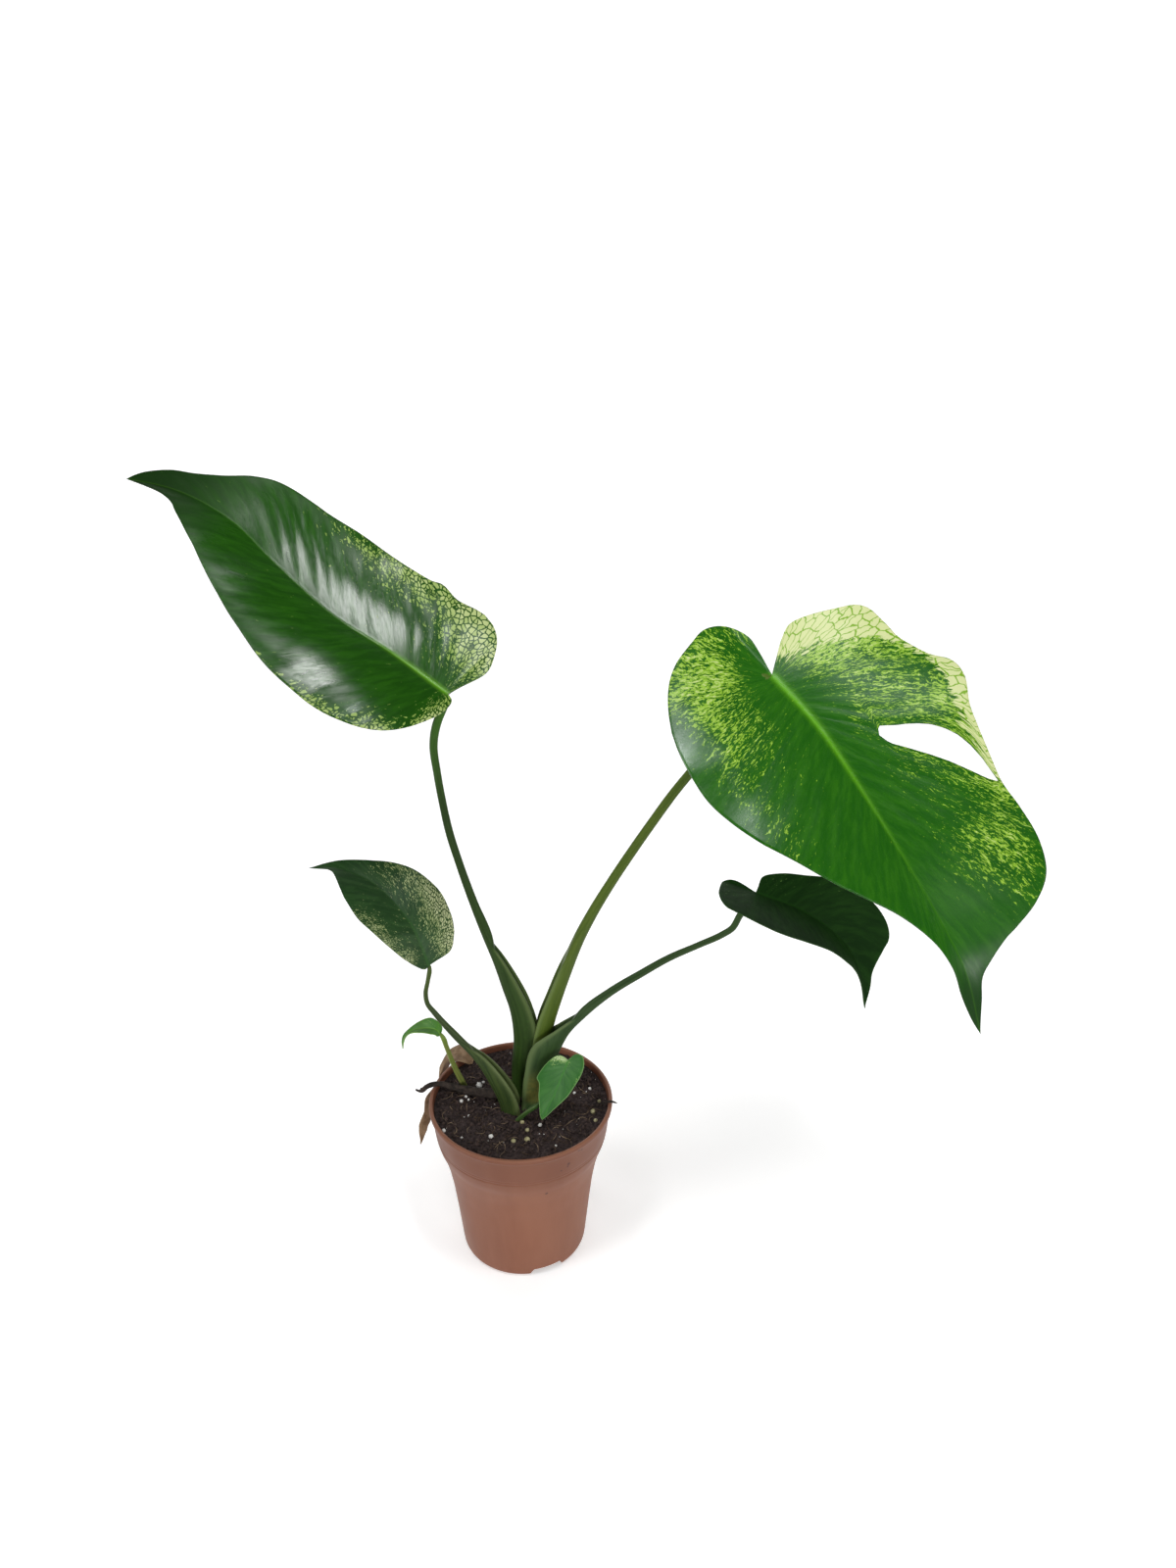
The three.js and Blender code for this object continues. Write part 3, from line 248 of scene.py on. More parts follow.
def unit(v):
    """Vectors scaled to length 1."""
    return v / np.linalg.norm(v, axis=-1, keepdims=True)


def heading(knots, rows, t):
    """Unit direction of the curve through the rows, along a chord of 1 mm."""
    return unit((smooth(knots, rows, t + 0.5) - smooth(knots, rows, t - 0.5))[..., :3])


def lumps(x, y, size, seed):
    """Smooth random heights from -1 to 1: a lattice of hashed numbers, blended by a cubic step."""
    x, y = x / size, y / size
    i, j = np.floor(x), np.floor(y)

    def corner(a, b):
        """The hashed number of a lattice point: the fraction of a large sine."""
        value = np.sin((i + a) * HASH_X + (j + b) * HASH_Y + seed * HASH_SEED) * HASH_SCALE
        return 2 * (value - np.floor(value)) - 1

    p, q = x - i, y - j
    p, q = p * p * (3 - 2 * p), q * q * (3 - 2 * q)
    low = corner(0, 0) * (1 - p) + corner(1, 0) * p
    high = corner(0, 1) * (1 - p) + corner(1, 1) * p
    return low * (1 - q) + high * q


def grid_faces(shape, start=0, flip=False, ring=False):
    """Four-cornered faces of a grid of rows and columns, closed round the columns if asked."""
    rows, columns = shape
    i = np.arange(rows - 1)[:, None]
    j = np.arange(columns if ring else columns - 1)[None, :]
    a = i * columns + j
    b = i * columns + (j + 1) % columns
    quads = np.stack([a, b, b + columns, a + columns], -1).reshape(-1, 4) + start
    return quads[:, ::-1] if flip else quads


def added(name, data):
    """A new object with its data, in the scene."""
    piece = bpy.data.objects.new(name, data)
    bpy.context.scene.collection.objects.link(piece)
    return piece


def mesh_piece(name, points, faces, values=None, weld=WELD):
    """A smooth mesh of points and faces, with named vector values on its points. Points that lie
    within the weld distance are merged."""
    mesh = bpy.data.meshes.new(name)
    rows = faces if isinstance(faces, list) else faces.tolist()
    mesh.from_pydata((np.asarray(points) * MM).tolist(), [], rows)
    for key, vectors in (values or {}).items():
        layer = mesh.attributes.new(key, "FLOAT_VECTOR", "POINT")
        layer.data.foreach_set("vector", np.asarray(vectors, np.float32).ravel())
    if weld:
        shape = bmesh.new()
        shape.from_mesh(mesh)
        bmesh.ops.remove_doubles(shape, verts=shape.verts, dist=weld * MM)
        bmesh.ops.dissolve_degenerate(shape, edges=shape.edges, dist=SLIVER)
        shape.to_mesh(mesh)
        shape.free()
    mesh.polygons.foreach_set("use_smooth", np.ones(len(mesh.polygons), bool))
    mesh.update()
    return added(name, mesh)


def swarm_piece(name, points, shape, weld):
    """One mesh of many grids of equal rows and columns, each closed round its columns."""
    first = np.arange(len(points)) * (shape[0] * shape[1])
    faces = grid_faces(shape, 0, True, True) + first[:, None, None]
    return mesh_piece(name, points.reshape(-1, 3), faces.reshape(-1, 4), weld=weld)


def dress(piece, material, slot, *nodes):
    """Gives a piece its material and its body, and hides the solids it stands for. The slot is not
    used.
    """
    piece.data.materials.clear()
    piece.data.materials.append(material)
    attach(piece, "root")
    if nodes:
        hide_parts(*nodes)


# Leaf surfaces: rows of the mesh for each row of side veins and columns from midrib to margin,
# closer to each other near the margin and at the ends of the slit, whose banks pull on some rows.
FINE_ROWS = 5
FINE_COLUMNS = 44
COLUMN_BIAS = 0.92
SLIT_COLUMNS = [0.36, 0.372, 0.385, 0.398, 0.41, 0.94, 0.95, 0.965, 0.972, 0.98, 0.99]
NEAR_REACH = 4
FAR_REACH = 3
# The column along which the distance between side veins is measured, and a row's usual width.
MIDDLE_COLUMN = 0.6
ROW_WIDTH = 3.0
# Bending: the left half's wave lags behind, roll is given at a half width, the bulge sets in.
WAVE_LAG = 2.0
ROLL_SPAN = 50
BULGE_START = 30
# Thickness, the groove on the midrib and the reach of the ridge below it.
BLADE_HALF = 0.4
MARGIN_FROM = 0.8
GROOVE_DEPTH = 0.12
GROOVE_REACH = 1.5
GROOVE_START = 6
RIDGE_REACH = 2
# Quilting fades near the midrib and the margin, as shares of the half width, and near the tip.
CALM_MIDRIB = 0.12
CALM_MARGIN = 0.12
CALM_TIP = 30
MEAN_SINE = 0.64
# Zones: from this amount on a spot is flat in the middle, and past the limit distances don't count.
FLAT_FROM = 0.9
FAR_AWAY = 1000.0
BAND_LIMIT = 40


class Leaf:
    """A blade on a bent sheet: the midrib's curve, turned to face its way, folded and waved."""

    def __init__(self, spec, quilt=0.0, spacing=12.0, bulge=0.0):
        self.spec = spec
        self.quilt = quilt
        self.spacing = spacing
        self.bulge = bulge
        self.knots = chord_knots(spec["midrib"])
        self.length = self.knots[-1]
        self.face_knots = np.linspace(0, self.length, len(spec["face"]))

    def lift(self, u, v):
        """Height of the sheet: a rounded fold along the midrib, a parabola that rolls the sides, a
        sine wave that grows towards the margin and a bulge halfway out."""
        s = self.spec
        phase = s["phase"] + np.where(u < 0, WAVE_LAG, 0.0)
        wave = np.sin(2 * np.pi * v / s["wave_length"] + phase)
        share = np.clip(np.abs(u) / s["half_width"], 0, 1)
        puffed = np.sin(np.pi * np.minimum(share, 0.5)) * (1 - 2 * np.maximum(share - 0.5, 0) ** 2)
        puffed = puffed * np.clip(v / BULGE_START, 0, 1)
        return (s["fold"] * (np.sqrt(u**2 + 1) - 1) + s["roll"] * (u / ROLL_SPAN) ** 2
                + s["wave"] * (u / s["half_width"]) ** 2 * wave + self.bulge * puffed)

    def point(self, u, v, extra=0.0):
        """Place of leaf coordinates: the midrib's point plus u sideways and the lift upwards."""
        place = smooth(self.knots, self.spec["midrib"], v)
        ahead = heading(self.knots, self.spec["midrib"], v)
        facing = smooth(self.face_knots, self.spec["face"], np.clip(v, 0, self.length))
        right = unit(np.cross(ahead, facing))
        up = np.cross(right, ahead)
        spread = 1 / math.sqrt(1 + self.spec["fold"] ** 2)
        return (place + right * (u * spread)[..., None]
                + up * (self.lift(u, v) + extra)[..., None])

    def normal(self, u, v):
        """Unit normal of the sheet's upper face, from chords of 0.4 mm each way."""
        e = 0.2
        return unit(np.cross(self.point(u + e, v) - self.point(u - e, v),
                             self.point(u, v + e) - self.point(u, v - e)))

    def side(self, side, columns, first=0, last=None, shift=None, reach=1):
        """Rows of one half from midrib to margin along the side veins, as a dict of arrays. Within
        reach of the slit's row, the rows give way to the bank that shift draws."""
        spec = self.spec
        stops = np.array(spec["rows"], float)
        last = stops[-1, 1] if last is None else last
        row = np.linspace(first, last, int(round((last - first) * FINE_ROWS)) + 1)
        anchor = np.interp(row, stops[:, 1], stops[:, 0])
        tip = stops[-1, 0]
        margin = np.array([(0, 0, 0), *spec["right" if side > 0 else "left"], (0, tip, tip)], float)
        k = np.interp(anchor, margin[:, 2], np.arange(len(margin)))
        edge = smooth(np.arange(len(margin)), margin, k)
        w = columns[None, :]
        u = edge[:, :1] * w
        v = anchor[:, None] + (edge[:, 1:2] - anchor[:, None]) * w
        opened = np.zeros_like(u, bool)
        if shift is not None:
            table = np.array(shift, float)
            near = np.clip(1 - np.abs(row - spec["slit"]["row"]) / reach, 0, 1)
            offset = np.interp(columns, table[:, 0], table[:, 1])
            v = v + near[:, None] * offset[None, :]
            opened = opened | (offset != 0)[None, :]
        length = np.hypot(edge[:, 0], edge[:, 1] - anchor)[:, None]
        middle = np.stack([edge[:, 0] * MIDDLE_COLUMN,
                           anchor + (edge[:, 1] - anchor) * MIDDLE_COLUMN], 1)
        across = chord_knots(middle) + first * ROW_WIDTH
        return dict(u=u, v=v, w=w + 0 * u, s=w * length * side, q=across[:, None] + 0 * u,
                    edge=(1 - w) * length, opened=opened, flip=side < 0)


def zone_value(u, v, spots):
    """Joined spots: each (u, v, reach across, reach along, amount) fades as a bell curve, the
    palest ones with a flat middle and a firmer edge."""
    clear = np.ones_like(u)
    for u0, v0, reach_u, reach_v, amount in spots:
        away = ((u - u0) / reach_u) ** 2 + ((v - v0) / reach_v) ** 2
        clear = clear * (1 - amount * np.exp(-(away ** 2 if amount > FLAT_FROM else away)))
    return 1 - clear


def line_gap(u, v, line):
    """Distance to a drawn line of (u, v) points, above 0 on the margin's side of it."""
    gap, turned = np.full(u.shape, FAR_AWAY), np.full(u.shape, -1.0)
    line = np.array(line, float).reshape(-1, 2)
    for (u0, v0), (u1, v1) in zip(line[:-1], line[1:]):
        du, dv = u1 - u0, v1 - v0
        t = np.clip(((u - u0) * du + (v - v0) * dv) / (du * du + dv * dv), 0, 1)
        away = np.hypot(u - u0 - t * du, v - v0 - t * dv)
        turned = np.where(away < gap, du * (v - v0) - dv * (u - u0), turned)
        gap = np.minimum(gap, away)
    return np.clip(gap, 0, BAND_LIMIT) * np.sign(turned)


def blade_parts(leaf):
    """The blade's halves. The one with the slit comes in two parts: low ends at the slit, and high
    begins there."""
    columns = np.linspace(0, 1, FINE_COLUMNS + 1) ** COLUMN_BIAS
    slit = leaf.spec.get("slit")
    parts = []
    for side in (1, -1):
        if slit and slit["side"] == side:
            fine = np.unique(np.round(np.concatenate([columns, SLIT_COLUMNS]), 6))
            row = slit["row"]
            parts.append((leaf.side(side, fine, 0, row, slit["near"], NEAR_REACH), "low"))
            parts.append((leaf.side(side, fine, row, None, slit["far"], FAR_REACH), "high"))
        else:
            parts.append((leaf.side(side, columns), ""))
    return parts


def quilting(leaf, u, v, w, q):
    """Height of the puffed bands between side veins: a rectified sine across the veins, uneven in
    spacing and strength, calm towards the midrib, the margin and the tip."""
    calm = np.clip(np.abs(u) / (CALM_MIDRIB * leaf.spec["half_width"]), 0, 1)
    calm = calm * np.clip((1 - w) / CALM_MARGIN, 0, 1) ** 0.5
    calm = calm * np.clip((leaf.length - v) / CALM_TIP, 0, 1)
    uneven = q + 3.5 * lumps(q, u, 17, 6)
    wave = np.abs(np.sin(np.pi * uneven / leaf.spacing)) - MEAN_SINE
    return leaf.quilt * (1 + 0.8 * lumps(q, u, 23, 8)) * wave * calm


def blade_layers(leaf, part, thin, crumple):
    """Upper and under side of a part: half a thickness off the sheet along its normal, thinner at
    the margin, with bell-shaped groove and ridge at the midrib."""
    u, v, w = part["u"], part["v"], part["w"]
    relief = quilting(leaf, u, v, w, part["q"])
    if crumple:
        creases = lumps(u, v, 7, 3) + 0.5 * lumps(u, v, 3, 5)
        relief = relief + crumple * creases * np.clip(w * 4, 0, 1)
    normal = leaf.normal(u, v)
    middle = leaf.point(u, v, relief)
    at_margin = np.clip((w - MARGIN_FROM) / (1 - MARGIN_FROM), 0, 1)
    half = BLADE_HALF * (1 - thin * at_margin ** 2)
    groove = GROOVE_DEPTH * np.exp(-((u / GROOVE_REACH) ** 2)) * np.clip(v / GROOVE_START, 0, 1)
    fade = 1 - np.clip(v, 0, None) / leaf.length
    ridge = leaf.spec["rib"] * np.exp(-((u / RIDGE_REACH) ** 2)) * fade
    return (middle + normal * (half - groove)[..., None],
            middle - normal * (half + ridge)[..., None])


def blade_values(leaf, part, pale, shine, cream):
    """What the finish reads at each point. vein: along the side vein, across the veins and along
    the midrib. zone: paleness, midrib and distance to the margin. skin: gloss and distance past
    the cream line."""
    u, v = part["u"], part["v"]
    fade = 1 - np.clip(v, 0, None) / leaf.length
    rib_width = 0.35 + leaf.spec["half_width"] / 40 * np.clip(fade, 0.08, 1) ** 1.5
    rib_mask = np.exp(-((u / rib_width) ** 2)) * np.clip((v + 3) / 5, 0, 1)
    return {"vein": np.stack([part["s"], part["q"], v], -1),
            "zone": np.stack([zone_value(u, v, pale), rib_mask, part["edge"]], -1),
            "skin": np.stack([zone_value(u, v, shine), line_gap(u, v, cream), 0 * u], -1)}


def blade_faces(part, end, start):
    """Faces of a part's upper and under side, of its margin and of its bank of the slit."""
    shape, size, flip = part["u"].shape, part["u"].size, part["flip"]
    order = np.arange(size).reshape(shape) + start
    rim = order[:, -1]
    wall = np.stack([rim[:-1], rim[:-1] + size, rim[1:] + size, rim[1:]], 1)
    faces = [grid_faces(shape, start, flip), grid_faces(shape, start + size, not flip),
             wall[:, ::-1] if flip else wall]
    if end:
        row = -1 if end == "low" else 0
        gap = part["opened"][row]
        use = gap[:-1] | gap[1:]
        a, b = order[row][:-1][use], order[row][1:][use]
        bank = np.stack([a, b, b + size, a + size], 1)
        faces.append(bank[:, ::-1] if (end == "low") == flip else bank)
    return faces


def blade_piece(name, leaf, pale=(), shine=(), cream=(), thin=0.55, crumple=0.0):
    """A closed blade: both sides of its parts, joined at the margin and at the slit."""
    points, faces = [], []
    values = {"vein": [], "zone": [], "skin": []}
    for part, end in blade_parts(leaf):
        faces += blade_faces(part, end, sum(len(rows) for rows in points))
        shown = blade_values(leaf, part, pale, shine, cream)
        for layer in blade_layers(leaf, part, thin, crumple):
            points.append(layer.reshape(-1, 3))
            for key, rows in shown.items():
                values[key].append(rows.reshape(-1, 3))
    return mesh_piece(name, np.concatenate(points), np.concatenate(faces),
                      {key: np.concatenate(rows) for key, rows in values.items()})


# Stalk surfaces. The lip lies between the outer wall and the mouth: its width and its largest share
# of the half width.
LIP = 0.35
LIP_SHARE = 0.15
# Where the sheath's margin takes its own colour, as a share of the half width, and how softly.
MARGIN_SHARE = 0.965
MARGIN_BLEND = 0.03
# From this hollow on the stalk counts as a sheath. Streaks are this much finer across than along.
FULL_HOLLOW = 2
ACROSS_SCALE = 4
# The end of a stalk within the blade: its size against the last station's, and how deep it lies.
END_SIZE = 0.75
END_DEPTH = 0.8


def stalk_piece(name, stalk, steps=150, around=26, rough=0.0):
    """A stalk carried along its outer edge: an outer half ellipse, then the mouth's, hollow or
    rounded. Its finish reads run: distance along, across and the sheath's margin, and place: share
    along, inside of the sheath and depth."""
    stations = stalk["stations"]
    knots = chord_knots(stations)
    t = np.linspace(0, knots[-1], steps + 1)
    row = smooth(knots, stations, t)
    ahead = heading(knots, stations, t)
    facing = np.array(stalk["facing"], float)
    inward = unit(facing - ahead * (ahead @ facing)[:, None])
    lateral = np.cross(ahead, inward)
    half, depth, hollow = row[:, 3:4], row[:, 4:5], row[:, 5:6]
    lip = np.minimum(LIP, half * LIP_SHARE)
    theta = np.linspace(np.pi / 2, -np.pi / 2, around + 1)[None, :]
    phi = np.linspace(-np.pi / 2, np.pi / 2, around - 3)[None, :]
    mouth_depth = depth + lip / 2 - hollow * np.cos(phi)
    d = np.concatenate([depth - depth * np.cos(theta), mouth_depth], 1)
    side = np.concatenate([half * np.sin(theta), (half - 2 * lip) * np.sin(phi)], 1)
    if rough:
        angle = np.linspace(0, 2 * np.pi, d.shape[1])[None, :]
        swell = 1 + rough * lumps(t[:, None] + 0 * angle, 3 * np.cos(angle) + 0 * t[:, None], 2.5, 9)
        d = depth + (d - depth) * swell
        side = side * swell
    points = row[:, None, :3] + inward[:, None] * d[..., None] + lateral[:, None] * side[..., None]
    sheathed = np.clip(hollow / FULL_HOLLOW, 0, 1)
    turned = np.concatenate([np.abs(np.sin(theta)), np.abs(np.sin(phi))], 1)
    edge = np.clip((turned - MARGIN_SHARE) / MARGIN_BLEND, 0, 1) * sheathed
    inner = np.concatenate([0 * theta, 0 * phi + 1], 1) * sheathed
    run = np.stack([t[:, None] + 0 * d, ACROSS_SCALE * side, edge], -1)
    place = np.stack([t[:, None] / knots[-1] + 0 * d, inner, d], -1)
    rings, ring = d.shape
    k = np.arange(ring)
    low = np.stack([(k + 1) % ring, k, 0 * k + rings * ring], 1)
    high = np.stack([k, (k + 1) % ring, 0 * k + rings * ring + 1], 1)
    high[:, :2] += (rings - 1) * ring
    faces = grid_faces((rings, ring), 0, False, True).tolist() + low.tolist() + high.tolist()

    def capped(rows, first, last):
        """Rows as one list, with the middles of both ends after them."""
        return np.concatenate([rows.reshape(-1, 3), first, last])

    body = capped(points, points[:1].mean(1), points[-1:].mean(1))
    values = {"run": capped(run, run[0, :1], run[-1, :1]),
              "place": capped(place, place[0, :1], place[-1, :1])}
    return mesh_piece(name, body, faces, values, weld=0)


def joined_stalk(stalk, leaf):
    """The stalk with one more station, so that its top runs into the underside of the blade."""
    base, up = leaf.point(np.zeros(1), np.ones(1))[0], leaf.normal(np.zeros(1), np.ones(1))[0]
    thick = END_SIZE * stalk["stations"][-1][3]
    place = base - up * (END_DEPTH * thick)
    return dict(stalk, stations=stalk["stations"] + [(*place, thick, thick, -thick)])


def turned(profile, segments):
    """Points of a profile of (radius, height) turned round the Z axis, in rows of segments."""
    profile = np.asarray(profile, float)
    angle = np.linspace(0, 2 * np.pi, segments, endpoint=False)
    ring = np.stack([np.cos(angle), np.sin(angle)], 1)
    height = profile[:, None, 1:] + 0 * ring[None, :, :1]
    return np.concatenate([profile[:, None, :1] * ring[None], height], 2)


def lathe_piece(name, profile, segments):
    """A closed piece turned from a profile of (radius, height)."""
    points = turned(profile, segments)
    return mesh_piece(name, points.reshape(-1, 3), grid_faces(points.shape[:2], 0, False, True))


def eased(points, share=0.25, most=0.8):
    """A profile whose corners are cut back by a share of each edge, and by so much at most."""
    points = np.asarray(points, float)
    a, b = points[:-1], points[1:]
    cut = np.minimum(share, most / np.linalg.norm(b - a, axis=1, keepdims=True))
    pair = np.stack([a + (b - a) * cut, b - (b - a) * cut], 1).reshape(-1, 2)
    return np.concatenate([points[:1], pair[1:-1], points[-1:]])


def carve(piece, cutters, sharp=40):
    """Cuts closed shapes out of a piece, applies the result and removes the shapes. Edges that
    turn by more than the sharp angle stay sharp."""
    for cutter in cutters:
        change = piece.modifiers.new("carve", "BOOLEAN")
        change.operation = "DIFFERENCE"
        change.object = cutter
        change.solver = "EXACT"
    graph = bpy.context.evaluated_depsgraph_get()
    mesh = bpy.data.meshes.new_from_object(piece.evaluated_get(graph))
    piece.modifiers.clear()
    piece.data = mesh
    for cutter in cutters:
        bpy.data.objects.remove(cutter)
    mesh.polygons.foreach_set("use_smooth", np.ones(len(mesh.polygons), bool))
    mesh.set_sharp_from_angle(angle=math.radians(sharp))


# Materials
class Finish:
    """A material with one glossy or matte surface and a few helpers that join its nodes."""

    def __init__(self, name, rough=0.5):
        self.material = bpy.data.materials.new(name)
        self.material.use_nodes = True
        self.tree = self.material.node_tree
        self.tree.nodes.clear()
        self.surface = self.tree.nodes.new("ShaderNodeBsdfPrincipled")
        output = self.tree.nodes.new("ShaderNodeOutputMaterial")
        self.tree.links.new(self.surface.outputs[0], output.inputs[0])
        self.surface.inputs["Roughness"].default_value = rough

    def set(self, name, value):
        """Sets a socket of the surface to a value or joins a node's output to it."""
        self.join(value, self.surface.inputs[name])

    def join(self, value, socket):
        """Links a node's output to a socket, or sets the socket to a value or a colour."""
        if isinstance(value, bpy.types.NodeSocket):
            self.tree.links.new(value, socket)
        elif isinstance(value, (tuple, list)) and len(value) == 3 and len(socket.default_value) == 4:
            socket.default_value = (*value, 1)
        else:
            socket.default_value = value

    def node(self, kind, **inputs):
        """A new node with its sockets and settings, given by name."""
        node = self.tree.nodes.new(kind)
        for key, value in inputs.items():
            if key in node.inputs:
                self.join(value, node.inputs[key])
            else:
                setattr(node, key, value)
        return node

    def value(self, name):
        """The piece's own vector values of that name, as one vector and its three parts."""
        node = self.node("ShaderNodeAttribute", attribute_name=name)
        parts = self.node("ShaderNodeSeparateXYZ")
        self.join(node.outputs["Vector"], parts.inputs[0])
        return node.outputs["Vector"], parts.outputs[0], parts.outputs[1], parts.outputs[2]

    def position(self):
        """The place on the piece in metres."""
        return self.node("ShaderNodeTexCoord").outputs["Object"]

    def math(self, operation, a, b=0.0, clamp=False):
        """The result of an operation on two values."""
        node = self.node("ShaderNodeMath", operation=operation, use_clamp=clamp)
        self.join(a, node.inputs[0])
        self.join(b, node.inputs[1])
        return node.outputs[0]

    def times(self, a, b):
        """Product of two values."""
        return self.math("MULTIPLY", a, b)

    def plus(self, a, b, clamp=False):
        """Sum of two values, kept between 0 and 1 if clamped."""
        return self.math("ADD", a, b, clamp)

    def stretch(self, vector, scale):
        """A vector multiplied part by part."""
        node = self.node("ShaderNodeVectorMath", operation="MULTIPLY")
        self.join(vector, node.inputs[0])
        node.inputs[1].default_value = scale
        return node.outputs[0]

    def bend(self, vector, scale, amount):
        """A vector pushed about by a noise, so that straight patterns wander."""
        noise = self.node("ShaderNodeTexNoise", Scale=scale, Detail=2.0)
        self.join(vector, noise.inputs["Vector"])
        centred = self.node("ShaderNodeVectorMath", operation="SUBTRACT")
        self.join(noise.outputs["Color"], centred.inputs[0])
        centred.inputs[1].default_value = (0.5, 0.5, 0.5)
        pushed = self.node("ShaderNodeVectorMath", operation="MULTIPLY_ADD")
        self.join(centred.outputs[0], pushed.inputs[0])
        pushed.inputs[1].default_value = (amount, amount, 0)
        self.join(vector, pushed.inputs[2])
        return pushed.outputs[0]

    def noise(self, vector, scale=1.0, detail=3.0, rough=0.5):
        """A cloudy noise from 0 to 1, with so many lumps per unit of the vector."""
        node = self.node("ShaderNodeTexNoise", Scale=scale, Detail=detail, Roughness=rough)
        self.join(vector, node.inputs["Vector"])
        return node.outputs[0]

    def grain(self, vector, along, across, detail=4.0, rough=0.6):
        """A noise with so many lumps per mm along and across a vector's first two parts."""
        return self.noise(self.stretch(vector, (along, across, 0)), 1.0, detail, rough)

    def cells(self, vector, feature="F1"):
        """A net of irregular cells, by its nearest points or by the distance to its lines."""
        node = self.node("ShaderNodeTexVoronoi", feature=feature, voronoi_dimensions="2D", Scale=1.0)
        self.join(vector, node.inputs["Vector"])
        return node

    def step(self, value, low, high, start=0.0, end=1.0):
        """A soft step of a value from one level to another between two limits."""
        node = self.node("ShaderNodeMapRange", interpolation_type="SMOOTHSTEP")
        for socket, number in zip(node.inputs, (value, low, high, start, end)):
            self.join(number, socket)
        return node.outputs[0]

    def mix(self, amount, a, b):
        """The first colour where the amount is 0, the second where it is 1."""
        node = self.node("ShaderNodeMix", data_type="RGBA")
        self.join(amount, node.inputs[0])
        self.join(a, node.inputs[6])
        self.join(b, node.inputs[7])
        return node.outputs[2]

    def bump(self, height, distance, strength=1.0):
        """Fine relief by shading: a height from 0 to 1 stands for a distance in mm."""
        node = self.node("ShaderNodeBump", Strength=strength, Distance=distance * MM)
        self.join(height, node.inputs["Height"])
        self.set("Normal", node.outputs[0])


def netted(f, wander, level, cell, lines):
    """Meshes of a green net, longer along the side veins, turn pale: few and small where the level
    is low, nearly all and close to each other where it is high. Gives the marks and their tint."""

    def meshes(long, wide, low, high, share):
        """Cells filled up to a line, thinner where the level is high, if their chance is met."""
        place = f.stretch(wander, (1 / long, 1 / wide, 0))
        distance = f.cells(place, "DISTANCE_TO_EDGE").outputs["Distance"]
        chance = f.node("ShaderNodeSeparateColor")
        f.join(f.cells(place).outputs["Color"], chance.inputs[0])
        line = f.step(level, 0.1, 1.0, high, low)
        filled = f.math("DIVIDE", f.math("SUBTRACT", distance, line), 0.05, True)
        chosen = f.math("SUBTRACT", f.times(level, share), chance.outputs[0])
        return f.times(filled, f.step(chosen, -0.03, 0.05)), chance.outputs[1]

    long, wide = cell
    medium, tint = meshes(long, wide, *lines, 1.25)
    small, _ = meshes(long * 0.45, wide * 0.5, 0.1, 0.3, 1.0)
    small = f.times(small, f.step(level, 0.5, 0.8, 1.0, 0.0))
    grain = f.grain(wander, 1 / long, 1.4 / wide, 3.0, 0.7)
    broken = f.step(f.plus(grain, f.times(level, 0.5)), 0.5, 0.6)
    marks = f.times(f.math("MAXIMUM", medium, small), broken)
    return marks, f.times(f.step(level, 0.5, 0.95), f.step(tint, -0.6, 0.8))


def threaded(f, wander, level, cell):
    """Thin pale streaks: fine and coarse noise drawn out along the side veins, of which more passes
    the threshold where the level is high. Gives the marks and their tint."""
    long, wide = cell
    fine = f.times(f.grain(wander, 1 / long, 1 / wide, 3.0, 0.68), 0.6)
    coarse = f.grain(wander, 1 / (2.6 * long), 1 / (2 * wide), 3.0, 0.68)
    threads = f.plus(fine, f.times(coarse, 0.4))
    filled = f.plus(threads, f.times(level, 0.36))
    return f.step(filled, 0.68, 0.71), f.times(f.step(filled, 0.72, 0.86), 0.8)


